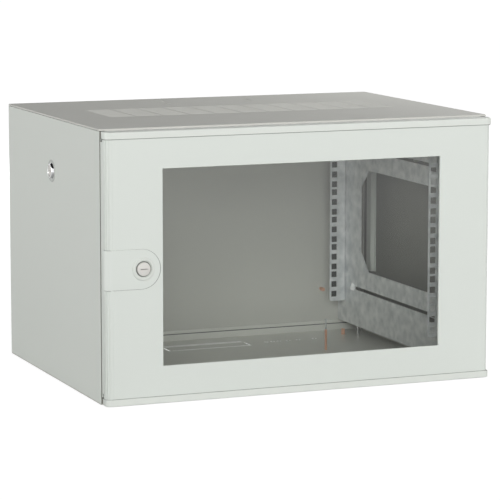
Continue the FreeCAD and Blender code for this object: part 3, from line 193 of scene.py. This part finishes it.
def safety_glass(name):
    """Clear sheet glass: light goes straight through, and a mirror coat lies on its surface.

    The coat is strongest at a glancing angle, and a little weaker in faint smears 50 mm across.
    """
    made = bpy.data.materials.new(name)
    made.use_nodes = True
    tree = made.node_tree
    tree.nodes.remove(tree.nodes["Principled BSDF"])
    clear = add(tree, "ShaderNodeBsdfTransparent", Color=linear("FCFDFC"))
    mirror = add(tree, "ShaderNodeBsdfGlossy", Color=linear("FFFFFF"), Roughness=0.02)
    fresnel = add(tree, "ShaderNodeFresnel", IOR=1.45).outputs[0]
    place = add(tree, "ShaderNodeTexCoord").outputs["Object"]
    smear = spread(tree, noise(tree, place, 0.05, detail=3.0), 0.9, 1.0)
    weight = add(tree, "ShaderNodeMath", {"operation": "MULTIPLY"}, _0=fresnel,
                 _1=smear).outputs[0]
    both = add(tree, "ShaderNodeMixShader", Fac=weight, _1=clear.outputs[0], _2=mirror.outputs[0])
    tree.links.new(both.outputs[0], tree.nodes["Material Output"].inputs["Surface"])
    made.diffuse_color = linear("D8E0DC")
    return made


# What each node's own material is, by its slot.
LOOKS = {
    # Matt, so the cabinet's sides shade evenly, with no bright spots.
    "body_paint": powder_coat("powder coat, light grey, fine texture", "DFE3DD", 0.6),
    # Satin, so the door frame looks cleaner and a little brighter than the sides.
    "door_paint": powder_coat("powder coat, light grey, satin", "DFE4DE", 0.38, gloss=0.35),
    # A shade whiter than the paint, with a soft line of light along the rounded edges.
    "door_cap_plastic": moulded("ABS, light grey, satin", "E2E6E0", 0.36),
    # Cloudy patches of brighter and duller metal, which tell it from the paint round it.
    "galvanised_steel": galvanised("hot-dip galvanised steel, spangled"),
    # An even pale grey with soft, wide highlights.
    "zinc_bracket": plated("zinc-plated steel, satin", "D2D5D7", 0.34, metallic=0.6),
    # Small bright points at the heads.
    "zinc_screws": plated("zinc-plated steel, bright", "F0F2F3", 0.2, metallic=0.7),
    # The one warm colour inside, so the studs stand out from the grey.
    "copper_plate": plated("copper-plated steel, satin", "E9B79C", 0.3, metallic=0.5),
    # Hardly there: a faint veil of reflected room over what lies behind it.
    "safety_glass": safety_glass("toughened glass, clear"),
    # A near-black line that drinks light.
    "black_rubber": moulded("EPDM rubber, matt", "1A1A1B", 0.7),
    # Softer than the rubber, with no highlight at all, so gaps at the door read as dark.
    "seal_foam": moulded("polyurethane foam, matt", "2A2A2B", 0.9, 3.0),
    # Waxy off-white between two metals.
    "hinge_bush_plastic": moulded("acetal, natural", "E6E5DF", 0.35),
    # Clear edges of light and dark on small turned faces.
    "lock_chrome": plated("chrome-plated zinc casting, satin", "D5D7D8", 0.2, 0.8),
}
# A little warmer than the sides, so the roof reads as a plane of its own.
ROOF_PAINT = powder_coat("powder coat, light grey, roof", "DEDED8", 0.6, depth=0.003)
# Greyer and smoother than outside, and darker too as painted shade, so the rear wall stays quiet
# behind the glass.
INSIDE_SHADED_PAINT = powder_coat("powder coat, light grey, inside faces", "D0D0CA", 0.6, depth=0.0015)
# Dull, and darker than the outside paint as painted shade, so the side panels' inner faces recede
# behind the frames' cut-outs.
SHADED_PAINT = powder_coat("powder coat, light grey, thin coat", "969690", 0.7, depth=0.0015)
# Smooth enough that the cabinet's floor mirrors its rear wall faintly.
FLOOR_PAINT = powder_coat("powder coat, light grey, smooth", "E2E2DC", 0.22, depth=0.0015,
                          gloss=0.5)
# Dark grey with almost no reflection, as painted shade, so holes and grooves in front of it read
# as deep.
SHADE_DARK_ZINC = plated("hot-dip galvanised steel, dull inside face", "5E605F", 0.7, metallic=0.1)
# A mid-grey strip that parts two pale pieces: a painted shadow line.
SHADOW_LINE_GREY = moulded("polyethylene foam, grey, thin joint strip", "7F827E", 0.8)
# Even and pale, a little warmer than the plastic ring round it.
LOCK_FACE = plated("nickel silver, satin", "DAD8D3", 0.45, 0.8, metallic=0.15)
# A darker ring that frames the bright collar of the side locks: its grey is painted shade of the
# shallow dish the lock sits in.
PANEL_RING_SHADE = moulded("polyamide, mid grey, satin, lock ring", "BDC0BC", 0.5)
# Close to the door's own colour, so the ring is told by its shading alone.
LOCK_RING = moulded("ABS, light grey, satin, lock ring", "DDE1DB", 0.45)
# A mirror: hard black and white bands on the cone of the side locks.
BRIGHT_CHROME = plated("chrome plate, mirror", "F2F3F4", 0.02, 6.0)
# Pure white, a painted highlight, so the lower entry's edges and the lugs read as small white
# marks.
HIGHLIGHT_WHITE = plated("galvanised steel, burnished", "FFFFFF", 0.5, metallic=0.1)


# ---- Ways to make a piece ------------------------------------------------------------------

CREASE = math.radians(32)       # edges of new pieces sharper than this stay sharp
CORNER = math.radians(30)       # corners of the solids sharper than this are eased
FLAT = math.radians(0.5)        # faces nearer than this to one plane are joined
SHEET_EDGE = 0.25               # radius on a cut or folded edge of sheet


def finish_piece(piece, node, look=None, keep_node=False):
    """Puts a new piece on its node's body, in that node's material, instead of the node."""
    piece.data.materials.clear()
    piece.data.materials.append(look or LOOKS[node_slot[node]])
    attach(piece, node_body[node])
    if not keep_node:
        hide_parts(node)
    return piece


def piece_of(name, mesh, node, look=None, keep_node=False):
    """A piece made from a bmesh, smooth but for its sharp creases."""
    data = bpy.data.meshes.new(name)
    bmesh.ops.recalc_face_normals(mesh, faces=mesh.faces)
    mesh.to_mesh(data)
    mesh.free()
    data.polygons.foreach_set("use_smooth", [True] * len(data.polygons))
    data.set_sharp_from_angle(angle=CREASE)
    piece = bpy.data.objects.new(name, data)
    bpy.context.scene.collection.objects.link(piece)
    return finish_piece(piece, node, look, keep_node)


def softened(node, bevel, segments=2, reshape=None, look=None, extra=None):
    """The node's own shape with its corners eased, as on folded, cut or moulded work.

    reshape moves each corner before the easing, and extra adds forms to the mesh after it.
    """
    mesh = bmesh.new()
    mesh.from_mesh(nodes[node].data)
    bmesh.ops.remove_doubles(mesh, verts=mesh.verts, dist=0.002 * MM)
    bmesh.ops.dissolve_limit(mesh, angle_limit=FLAT, verts=mesh.verts, edges=mesh.edges,
                             delimit={"NORMAL"})
    if reshape:
        for vertex in mesh.verts:
            vertex.co = reshape(vertex.co)
    sharp = [edge for edge in mesh.edges if len(edge.link_faces) == 2
             and edge.calc_face_angle(0) > CORNER]
    bmesh.ops.bevel(mesh, geom=sharp, offset=bevel * MM, segments=segments, profile=0.5,
                    affect="EDGES", clamp_overlap=True, harden_normals=False)
    if extra:
        extra(mesh)
    data = bpy.data.meshes.new(node + "_eased")
    mesh.to_mesh(data)
    mesh.free()
    data.polygons.foreach_set("use_smooth", [True] * len(data.polygons))
    piece = bpy.data.objects.new(node + "_eased", data)
    bpy.context.scene.collection.objects.link(piece)
    normals = piece.modifiers.new("Face-weighted normals", "WEIGHTED_NORMAL")
    normals.keep_sharp = False
    return finish_piece(piece, node, look)


def add_prism(mesh, outline, low, high, axis="Z"):
    """A closed outline of points in millimetres, drawn out along an axis."""
    turn = {"Z": lambda a, b, c: (a, b, c), "X": lambda a, b, c: (c, a, b),
            "Y": lambda a, b, c: (a, c, b)}[axis]
    ends = [[mesh.verts.new(Vector(turn(a, b, c)) * MM) for a, b in outline]
            for c in (low, high)]
    count = len(outline)
    for i in range(count):
        j = (i + 1) % count
        mesh.faces.new((ends[0][i], ends[0][j], ends[1][j], ends[1][i]))
    mesh.faces.new(ends[0][::-1])
    mesh.faces.new(ends[1])


def add_block(mesh, left, right, front, back, bottom, top):
    """A level block between six places in millimetres."""
    add_prism(mesh, [(left, front), (right, front), (right, back), (left, back)], bottom, top)


def add_turned(mesh, profile, centre, out, steps=64):
    """A turned shape: rings of (radius, height) in millimetres about a line through centre.

    A radius may also be a function of the angle, for slots and keyways. A profile that starts
    and ends on the same ring is a hollow one, and other profiles are closed in their middles.
    """
    turn = Vector((0, 0, 1)).rotation_difference(Vector(out)).to_matrix()
    rings = []
    closed = profile[0] == profile[-1]
    for radius, height in (profile[:-1] if closed else profile):
        ring = []
        for step in range(steps):
            angle = 2 * math.pi * step / steps
            reach = radius(angle) if callable(radius) else radius
            point = Vector((reach * math.cos(angle), reach * math.sin(angle), height)) * MM
            ring.append(mesh.verts.new(Vector(centre) + turn @ point))
        rings.append(ring)
    pairs = list(zip(rings, rings[1:])) + ([(rings[-1], rings[0])] if closed else [])
    for low, high in pairs:
        for i in range(steps):
            j = (i + 1) % steps
            mesh.faces.new((low[i], low[j], high[j], high[i]))
    if not closed:
        mesh.faces.new(rings[0][::-1])
        mesh.faces.new(rings[-1])


def slot_shape(half_length, half_width, across=0.0):
    """The edge of a straight slot as a radius by angle, turned by the angle across."""
    def radius(angle):
        run, rise = abs(math.cos(angle - across)), abs(math.sin(angle - across))
        return min(half_length / max(run, 1e-6), half_width / max(rise, 1e-6))
    return radius


SIDES = (("right", 1), ("left", -1))

for name in nodes:
    slots = nodes[name].data.materials
    for index in range(len(slots)):
        slots[index] = LOOKS[node_slot[name]]
    if not len(slots):
        slots.append(LOOKS[node_slot[name]])

# ---- Sheets of the cabinet -----------------------------------------------------------------

SKIN = 0.9           # faces nearer than this to a panel's outer face are its painted outside

for side, sign in SIDES:
    panel = softened("side_panel_" + side, SHEET_EDGE)
    panel.data.materials.append(SHADED_PAINT)
    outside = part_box("side_panel_" + side)[(sign + 1) // 2].x
    # Faces away from the outside take the darker paint, which is painted shade.
    for face in panel.data.polygons:
        face.material_index = int(abs(face.center.x - outside) > SKIN * MM)
for name in ("front_post_", "side_frame_", "front_rail_"):
    for side, _ in SIDES:
        softened(name + side, SHEET_EDGE)
for name in ("roof", "top_entry_cover"):
    softened(name, SHEET_EDGE, look=ROOF_PAINT)
softened("back_panel", SHEET_EDGE, look=INSIDE_SHADED_PAINT)

SHEET = 1.2          # painted sheet of the body
FOOT_REACH = 286.0   # half the length of the folds along the foot of the rear wall
# Front of the base's rear upstand, which stands against the rear wall.
FOOT_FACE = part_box("back_panel")[1].y / MM - 2 * SHEET - 0.1
FOOT_FOLD = 1.6      # how far the folds stand out from the rear upstand
FOOT_LOW = (SHEET, 11.3)
FOOT_HIGH = (12.7, 17.8)
GROOVE_SHADE_DEPTH = 1.2    # what is seen at the bottom of the groove between the folds


def foot_strips(mesh):
    """Two folds along the foot of the rear upstand, with a narrow groove between them."""
    for bottom, top in (FOOT_LOW, FOOT_HIGH):
        add_block(mesh, -FOOT_REACH, FOOT_REACH, FOOT_FACE - FOOT_FOLD, FOOT_FACE, bottom, top)


softened("base", SHEET_EDGE, look=FLOOR_PAINT, extra=foot_strips)
# A dark block at the bottom of the groove between the folds: painted shade.
mesh = bmesh.new()
add_block(mesh, -FOOT_REACH, FOOT_REACH, FOOT_FACE - GROOVE_SHADE_DEPTH, FOOT_FACE,
          FOOT_LOW[1] - 0.1, FOOT_HIGH[0] + 0.1)
piece_of("foot_groove", mesh, "base", look=SHADE_DARK_ZINC, keep_node=True)
softened("bottom_entry_cover", SHEET_EDGE, look=FLOOR_PAINT)

# The fold behind each rear rail's holes, clear of the rail's own edges, dark grey as painted
# shade inside the rail.
FOLD_FROM_INNER, FOLD_FROM_OUTER = 12.0, 2.6
FOLD_FRONT, FOLD_BACK = 1.4, 0.2

for side, sign in SIDES:
    softened("rear_rail_" + side, SHEET_EDGE)
    low, high = (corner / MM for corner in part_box("rear_rail_" + side))
    inner, outer = (low.x, high.x) if sign > 0 else (high.x, low.x)
    left, right = sorted((inner + sign * FOLD_FROM_INNER, outer - sign * FOLD_FROM_OUTER))
    mesh = bmesh.new()
    add_block(mesh, left, right, high.y - FOLD_FRONT, high.y - FOLD_BACK,
              low.z + FOLD_BACK, high.z - FOLD_BACK)
    piece_of("rear_rail_fold_" + side, mesh, "rear_rail_" + side, look=SHADE_DARK_ZINC, keep_node=True)

# Lines along the edges of the lower cable entry and rims round the floor holes beside it, white
# as painted highlights. They stand a little above the floor, as a burr does.
FLOOR_HOLES = (100, 111, 122, 138, 155, 183)
EDGE_HALF, EDGE_RISE, EDGE_SINK = 0.7, 0.45, 0.2
RIM_INNER, RIM_OUTER, RIM_RISE = 2.7, 3.7, 0.35
REAR_EDGE = 7.0      # the third edge lies this far behind the entry's cover

low, high = (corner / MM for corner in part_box("bottom_entry_cover"))
mesh = bmesh.new()
for y in (low.y - 0.1, high.y + 0.1, high.y + REAR_EDGE):
    add_block(mesh, low.x + 1.0, high.x - 1.0, y - EDGE_HALF, y + EDGE_HALF,
              high.z - EDGE_SINK, high.z + EDGE_RISE)
rim = [(RIM_INNER, -EDGE_SINK), (RIM_OUTER, -EDGE_SINK), (RIM_OUTER, RIM_RISE),
       (RIM_INNER, RIM_RISE), (RIM_INNER, -EDGE_SINK)]
for x in FLOOR_HOLES:
    add_turned(mesh, rim, Vector((x, (low.y + high.y) / 2 + 1, high.z)) * MM, (0, 0, 1),
               steps=20)
piece_of("entry_cut_edges", mesh, "bottom_entry_cover", look=HIGHLIGHT_WHITE, keep_node=True)

# ---- Door ----------------------------------------------------------------------------------

low, high = (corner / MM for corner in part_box("door_skin"))
DOOR_LOCK_EDGE, DOOR_FACE, DOOR_LOW = low
DOOR_HINGE_EDGE, DOOR_HIGH = high.x, high.z
BEND = 7.0           # radius of the door's lock edge
BEND_X, BEND_Y = DOOR_LOCK_EDGE + BEND, DOOR_FACE + BEND
BEAD = 0.7           # how far the drawn beads stand out
# Each bead from one angle to another round the bend, and how far it runs on along the face.
BEADS = ((1, 18, 0.0), (25, 42, 0.0), (48, 70, 0.0), (75, 90, 2.6))


def bend_point(angle, radius):
    """A point on the round of the door's lock edge, from its side (0) to its face (90)."""
    turn = math.radians(angle)
    return BEND_X - radius * math.cos(turn), BEND_Y - radius * math.sin(turn)


def edge_beads(mesh):
    """The drawn beads along the door's lock edge, with fine grooves between them."""
    plate_low, plate_high = (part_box("door_lock_plate")[i].z / MM for i in (0, 1))
    for bottom, top in ((DOOR_LOW + 0.5, plate_low - 0.3),
                        (plate_high + 0.3, DOOR_HIGH - 0.7)):
        for start, stop, run in BEADS:
            steps = [start + (stop - start) * k / 5 for k in range(6)]
            outer = [bend_point(a, BEND + BEAD) for a in steps]
            inner = [bend_point(a, BEND - 0.3) for a in steps]
            if run:
                outer += [(BEND_X + run, DOOR_FACE - BEAD),
                          (BEND_X + run + 0.8, DOOR_FACE - 0.1)]
                inner += [(BEND_X + run + 0.8, DOOR_FACE + 0.3)]
            add_prism(mesh, outer + inner[::-1], bottom, top)


softened("door_skin", SHEET_EDGE, extra=edge_beads)


CAP_LIFT = 0.5       # how much further the caps stand out than the door's skin
CAP_EDGE = 0.45      # radius on the caps' edges


def proud_cap(point):
    """Brings a cap's face a little further out than the door's skin."""
    if point.y < (DOOR_FACE - 0.3) * MM:
        return point + Vector((0, -CAP_LIFT * MM, 0))
    return point


for name in ("door_cap_top", "door_cap_bottom"):
    softened(name, CAP_EDGE, segments=3, reshape=proud_cap)

PLATE_LIFT = 0.8     # how much thicker the lock plate stands than its sheet
PLATE_EDGE = 0.75    # radius on the plate's edge


def thick_plate(point):
    """Lifts the outer face of the lock plate, on the door's face and round its edge."""
    x, y = point.x / MM, point.y / MM
    if x >= BEND_X:
        return point + Vector((0, -PLATE_LIFT * MM if y < DOOR_FACE - 0.4 else 0, 0))
    if y <= BEND_Y:
        away = Vector((x - BEND_X, y - BEND_Y, 0))
        return point + away.normalized() * (PLATE_LIFT * MM if away.length > BEND + 0.4 else 0)
    return point + Vector((-PLATE_LIFT * MM if x < DOOR_LOCK_EDGE - 0.4 else 0, 0, 0))


softened("door_lock_plate", PLATE_EDGE, segments=4, reshape=thick_plate)

JOINT_PROUD, JOINT_SUNK = 0.45, 0.3   # how far a joint strip stands out, and sits in

# The painted shadow line round the lock plate, a grey strip: widest below it and toward its round
# end.
low, high = (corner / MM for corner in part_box("door_lock_plate"))
nose = (high.z - low.z) / 2
tip_x, tip_z = high.x - nose, (high.z + low.z) / 2
outline = [(BEND_X, tip_z + nose), (BEND_X, tip_z - nose - 0.55)]
for step in range(25):
    turn = math.radians(-90 + 180 * step / 24)
    wide = nose + 0.35 + 0.8 * math.cos(turn) - 0.25 * math.sin(turn)
    outline.append((tip_x + wide * math.cos(turn), tip_z + wide * math.sin(turn)))
mesh = bmesh.new()
add_prism(mesh, outline, DOOR_FACE - JOINT_PROUD, DOOR_FACE + 0.1, "Y")
for z in (tip_z + nose + 0.1, tip_z - nose - 0.4):
    round_edge = [bend_point(a, BEND + 0.8) for a in range(0, 91, 10)]
    inside = [bend_point(a, BEND - JOINT_SUNK) for a in range(90, -1, -10)]
    add_prism(mesh, round_edge + inside, z - 0.3, z + 0.3)
piece_of("lock_plate_joint", mesh, "door_lock_plate", look=SHADOW_LINE_GREY, keep_node=True)

# The foam at the back of the door: a wide strip at the lock edge, and three plain ones.
SEAL_WIDE = 8.0
SEAL_GAP = 0.2       # between the ends of the level strips and the upright ones
SEAL_LOW, SEAL_HIGH = 24.3, 361.2
EDGE_SEAL = (17.0, 368.5)

low, high = (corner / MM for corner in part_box("door_seals"))
between = (low.x + SEAL_WIDE + SEAL_GAP, high.x - SEAL_WIDE - SEAL_GAP)
mesh = bmesh.new()
for left, right, bottom, top in ((DOOR_LOCK_EDGE + 0.9, low.x + SEAL_WIDE, *EDGE_SEAL),
                                 (high.x - SEAL_WIDE, high.x, SEAL_LOW, SEAL_HIGH),
                                 (*between, SEAL_LOW, SEAL_LOW + SEAL_WIDE),
                                 (*between, SEAL_HIGH - SEAL_WIDE, SEAL_HIGH)):
    add_block(mesh, left, right, low.y, high.y, bottom, top)
piece_of("door_seals_strips", mesh, "door_seals")


def door_girdle(mesh, bottom, top):
    """A thin grey strip round the lock edge and across the face where a cap meets the skin: the
    seam's painted shadow line.
    """
    outer = [(DOOR_LOCK_EDGE - JOINT_PROUD, BEND_Y + 12)]
    outer += [bend_point(a, BEND + JOINT_PROUD) for a in range(0, 91, 10)]
    outer += [(DOOR_HINGE_EDGE - 1.0, DOOR_FACE - JOINT_PROUD)]
    inner = [(DOOR_HINGE_EDGE - 1.0, DOOR_FACE + JOINT_SUNK)]
    inner += [bend_point(a, BEND - JOINT_SUNK) for a in range(90, -1, -10)]
    inner += [(DOOR_LOCK_EDGE + JOINT_SUNK, BEND_Y + 12)]
    add_prism(mesh, outer + inner, bottom, top)


mesh = bmesh.new()
door_girdle(mesh, DOOR_HIGH - 0.6, DOOR_HIGH + 0.1)
door_girdle(mesh, DOOR_LOW - 0.1, DOOR_LOW + 0.4)
piece_of("door_cap_joints", mesh, "door_skin", look=SHADOW_LINE_GREY, keep_node=True)

# ---- Locks ---------------------------------------------------------------------------------

BARREL = 11.0        # radius of a housing's threaded body
BORE = 9.95          # radius of a housing's bore
THREAD_DEPTH, HALF_PITCH, THREAD_START, THREAD_TURNS = 0.5, 0.75, -2.0, 8
THREAD = [(BARREL - THREAD_DEPTH * (k % 2), THREAD_START - HALF_PITCH * k)
          for k in range(2 * THREAD_TURNS)][::-1]
# Behind the barrel's wide part come a neck and the stem of the cam, as (radius, height).
BARREL_BACK = [(6.4, -8.4), (6.4, -15.0), (4.0, -15.0)]
KEYWAY_DEPTH = 3.5


def lock_parts(tag, housing, cylinder, centre, out, ring, collar, face, rim, keyway):
    """A quarter-turn lock: its ring, its collar where it has one, and its turning barrel.

    ring and collar are profiles as (radius, height) from the sheet's face, face is the height
    of the barrel's face, rim its radius, and keyway the slot's edge as a radius by angle.
    """
    mesh = bmesh.new()
    back = THREAD[0][1]
    ring_face = [(BARREL, 0.0)] + ring + [(BORE, -1.2), (BORE, back)]
    add_turned(mesh, THREAD + ring_face + [THREAD[0]], centre, out)
    piece_of(tag + "_ring", mesh, housing, look=LOCK_RING if not collar else PANEL_RING_SHADE)
    if collar:
        mesh = bmesh.new()
        add_turned(mesh, collar + [collar[0]], centre, out)
        piece_of(tag + "_collar", mesh, housing, look=BRIGHT_CHROME, keep_node=True)
    mesh = bmesh.new()
    add_turned(mesh, [(keyway, face - KEYWAY_DEPTH), (keyway, face), (rim - 1.2, face),
                      (rim - 0.5, face - 0.15), (rim, face - 0.6), (rim, -8.0)]
               + BARREL_BACK + [(4.0, back - 3.5)], centre, out)
    piece_of(tag + "_barrel", mesh, cylinder, look=LOCK_FACE)


# The door lock's ring is a raised, rounded one. The side locks' rings are flat ones in a grey
# that is painted shade, each with a bright cone inside it.
DOOR_RING = [(16.4, 1.5), (16.4, 2.1), (16.1, 2.7), (15.4, 3.1), (14.2, 3.3), (12.9, 3.2),
             (12.1, 2.9), (11.7, 2.3), (11.6, -1.2)]
SIDE_RING = [(16.4, 0.0), (16.4, 0.4), (16.0, 0.9), (15.2, 1.1), (14.0, 0.7), (12.0, 0.3),
             (11.9, -1.2)]
SIDE_COLLAR = [(11.9, -1.0), (11.9, 0.3), (10.0, 3.2), (9.7, 3.4), (8.9, 3.4), (8.6, 3.1),
               (8.6, -1.0)]

low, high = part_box("door_lock_housing")
middle = (low + high) / 2
lock_parts("door_lock", "door_lock_housing", "door_lock_cylinder",
           (middle.x, DOOR_FACE * MM, middle.z), (0, -1, 0), DOOR_RING, None,
           face=3.9, rim=9.7, keyway=slot_shape(5.2, 0.55))
for side, sign in SIDES:
    low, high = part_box("panel_lock_housing_" + side)
    middle = (low + high) / 2
    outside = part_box("side_panel_" + side)[(sign + 1) // 2].x
    lock_parts("panel_lock_" + side, "panel_lock_housing_" + side, "panel_lock_cylinder_" + side,
               (outside, middle.y, middle.z), (sign, 0, 0), SIDE_RING, SIDE_COLLAR,
               face=3.0, rim=8.5, keyway=slot_shape(4.8, 0.6, math.pi / 2))

# ---- Lugs beside the lower slots of the side frames ----------------------------------------

# Bent out of the frame behind the front rails' travel, as (reach from the frame, height).
LUG = ((0.0, 74.5), (6.0, 76.0), (8.0, 79.5), (5.5, 83.0), (4.5, 88.5), (0.0, 84.5))
LUG_FRONT, LUG_BACK = 160.4, 161.6

# Each lug is white, a painted highlight.
for side, sign in SIDES:
    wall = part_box("side_frame_" + side)[(1 - sign) // 2].x / MM
    mesh = bmesh.new()
    add_prism(mesh, [(wall - sign * reach, z) for reach, z in LUG], LUG_FRONT, LUG_BACK, "Y")
    piece_of("frame_lug_" + side, mesh, "side_frame_" + side, look=HIGHLIGHT_WHITE, keep_node=True)


# ---- Setting, camera and light -------------------------------------------------------------

def plane(name, size, height, look):
    """A square level sheet that isn't part of the object."""
    data = bpy.data.meshes.new(name)
    half = size / 2
    data.from_pydata([(-half, -half, height), (half, -half, height), (half, half, height),
                      (-half, half, height)], [], [(0, 1, 2, 3)])
    made = bpy.data.objects.new(name, data)
    made.data.materials.append(look)
    bpy.context.scene.collection.objects.link(made)


def softbox(name, place, target, width, height, watts):
    """A white rectangular lamp that faces its target, all in metres."""
    data = bpy.data.lights.new(name, "AREA")
    data.shape = "RECTANGLE"
    data.size, data.size_y = width, height
    data.energy = watts
    lamp = bpy.data.objects.new(name, data)
    lamp.location = place
    lamp.rotation_euler = (Vector(target) - Vector(place)).to_track_quat("-Z", "Y").to_euler()
    bpy.context.scene.collection.objects.link(lamp)


FLOOR_SIZE = 30.0
FLOOR_DROP = 0.3 * MM         # the floor lies this far under the base
FLOOR_GLOW = 0.88             # the floor's own light near the object
GLOW_FROM, GLOW_TO = 0.5, 2.5   # it grows to full white between these distances, in metres
FRONT_LIGHT = 0.7             # the room's light from ahead
BAND_FULL, BAND_NONE = 0.40, 0.50   # steepness at which the white band of the room ends
ROOM_DARK = 0.02              # what is mirrored above and below that band


def studio_floor(colour):
    """A pale floor that keeps the object's shadow, and turns to plain white away from it.

    Mirrors see it white only far away, so the object's own dark surroundings stay in them.
    """
    made = bpy.data.materials.new("studio floor, matt, pale")
    made.use_nodes = True
    tree = made.node_tree
    tree.nodes.remove(tree.nodes["Principled BSDF"])
    rays = add(tree, "ShaderNodeLightPath").outputs
    away = add(tree, "ShaderNodeVectorMath", {"operation": "LENGTH"},
               _0=add(tree, "ShaderNodeTexCoord").outputs["Object"]).outputs["Value"]
    far = add(tree, "ShaderNodeMapRange", Value=away, _1=GLOW_FROM, _2=GLOW_TO, _3=0.0,
              _4=1.0).outputs[0]
    mirror = add(tree, "ShaderNodeMath", {"operation": "MULTIPLY"}, _0=rays["Is Glossy Ray"],
                 _1=far).outputs[0]
    seen = add(tree, "ShaderNodeMath", {"operation": "MAXIMUM"}, _0=rays["Is Camera Ray"],
               _1=rays["Is Transmission Ray"]).outputs[0]
    seen = add(tree, "ShaderNodeMath", {"operation": "MAXIMUM"}, _0=seen, _1=mirror).outputs[0]
    lit = add(tree, "ShaderNodeBsdfDiffuse", Color=linear(colour)).outputs[0]
    faint = add(tree, "ShaderNodeBsdfDiffuse", Color=linear("898989")).outputs[0]
    level = add(tree, "ShaderNodeMath", {"operation": "MULTIPLY_ADD"}, _0=far,
                _1=1.0 - FLOOR_GLOW, _2=FLOOR_GLOW).outputs[0]
    glow = add(tree, "ShaderNodeEmission", Strength=level).outputs[0]
    white = add(tree, "ShaderNodeAddShader", _0=faint, _1=glow).outputs[0]
    both = add(tree, "ShaderNodeMixShader", _0=seen, _1=lit, _2=white).outputs[0]
    tree.links.new(both, tree.nodes["Material Output"].inputs["Surface"])
    return made


plane("studio_floor", FLOOR_SIZE, cad_low[2] - FLOOR_DROP, studio_floor("C8C8C8"))

# A long lens, far ahead on the lock side and a little above, turned down toward the door.
camera_data = bpy.data.cameras.new("camera")
camera_data.lens = 187.12
camera_data.sensor_width = 36
camera_data.clip_end = 100
camera = bpy.data.objects.new("camera", camera_data)
camera.location = (-1.4504, -3.5909, 0.7410)
camera.rotation_euler = (math.radians(90 - 8.3), math.radians(-0.03), math.radians(-22.09))
bpy.context.scene.collection.objects.link(camera)
bpy.context.scene.camera = camera

# The room: it lights the object from ahead, shows plain white behind it, and is seen in
# glossy faces and through the glass as one white band with dark above and below.
world = bpy.data.worlds.new("studio")
bpy.context.scene.world = world
world.use_nodes = True
tree = world.node_tree
rays = add(tree, "ShaderNodeLightPath").outputs
way = add(tree, "ShaderNodeSeparateXYZ", _0=add(tree, "ShaderNodeTexCoord")
          .outputs["Generated"]).outputs
wall = add(tree, "ShaderNodeMath", {"operation": "MULTIPLY"}, _0=way["Y"],
           _1=-FRONT_LIGHT).outputs[0]
wall = add(tree, "ShaderNodeMath", {"operation": "MAXIMUM"}, _0=wall, _1=0.0).outputs[0]
height = add(tree, "ShaderNodeMath", {"operation": "ABSOLUTE"}, _0=way["Z"]).outputs[0]
band = add(tree, "ShaderNodeMapRange", _0=height, _1=BAND_FULL, _2=BAND_NONE, _3=1.0,
           _4=ROOM_DARK).outputs[0]
mirrored = add(tree, "ShaderNodeMath", {"operation": "MAXIMUM"},
               _0=rays["Is Glossy Ray"], _1=rays["Is Transmission Ray"]).outputs[0]
room = add(tree, "ShaderNodeMix", {"data_type": "FLOAT"}, Factor=mirrored, _2=wall,
           _3=band).outputs[0]
seen = add(tree, "ShaderNodeMix", {"data_type": "FLOAT"}, Factor=rays["Is Camera Ray"],
           _2=room, _3=1.0).outputs[0]
background = tree.nodes["Background"]
background.inputs["Color"].default_value = (1, 1, 1, 1)
tree.links.new(seen, background.inputs["Strength"])

CENTRE = (0, 0, 0.2)
softbox("softbox ahead", (-0.6, -3.4, 0.5), CENTRE, 2.2, 1.6, 27)
softbox("softbox ahead, upper left", (-1.7, -3.2, 1.5), CENTRE, 1.0, 1.0, 28)
softbox("softbox ahead, right", (1.9, -2.4, 0.9), CENTRE, 1.6, 1.6, 20)
softbox("softbox left", (-2.8, 0.2, 0.75), CENTRE, 1.6, 1.6, 29)
softbox("softbox behind, low", (0, 3.0, 0.2), CENTRE, 0.5, 0.3, 34)
softbox("softbox behind, right", (1.15, 0.5, 0.8), (0.25, 0, 0.39), 0.6, 0.6, 10)

bpy.context.scene.view_settings.view_transform = "Standard"
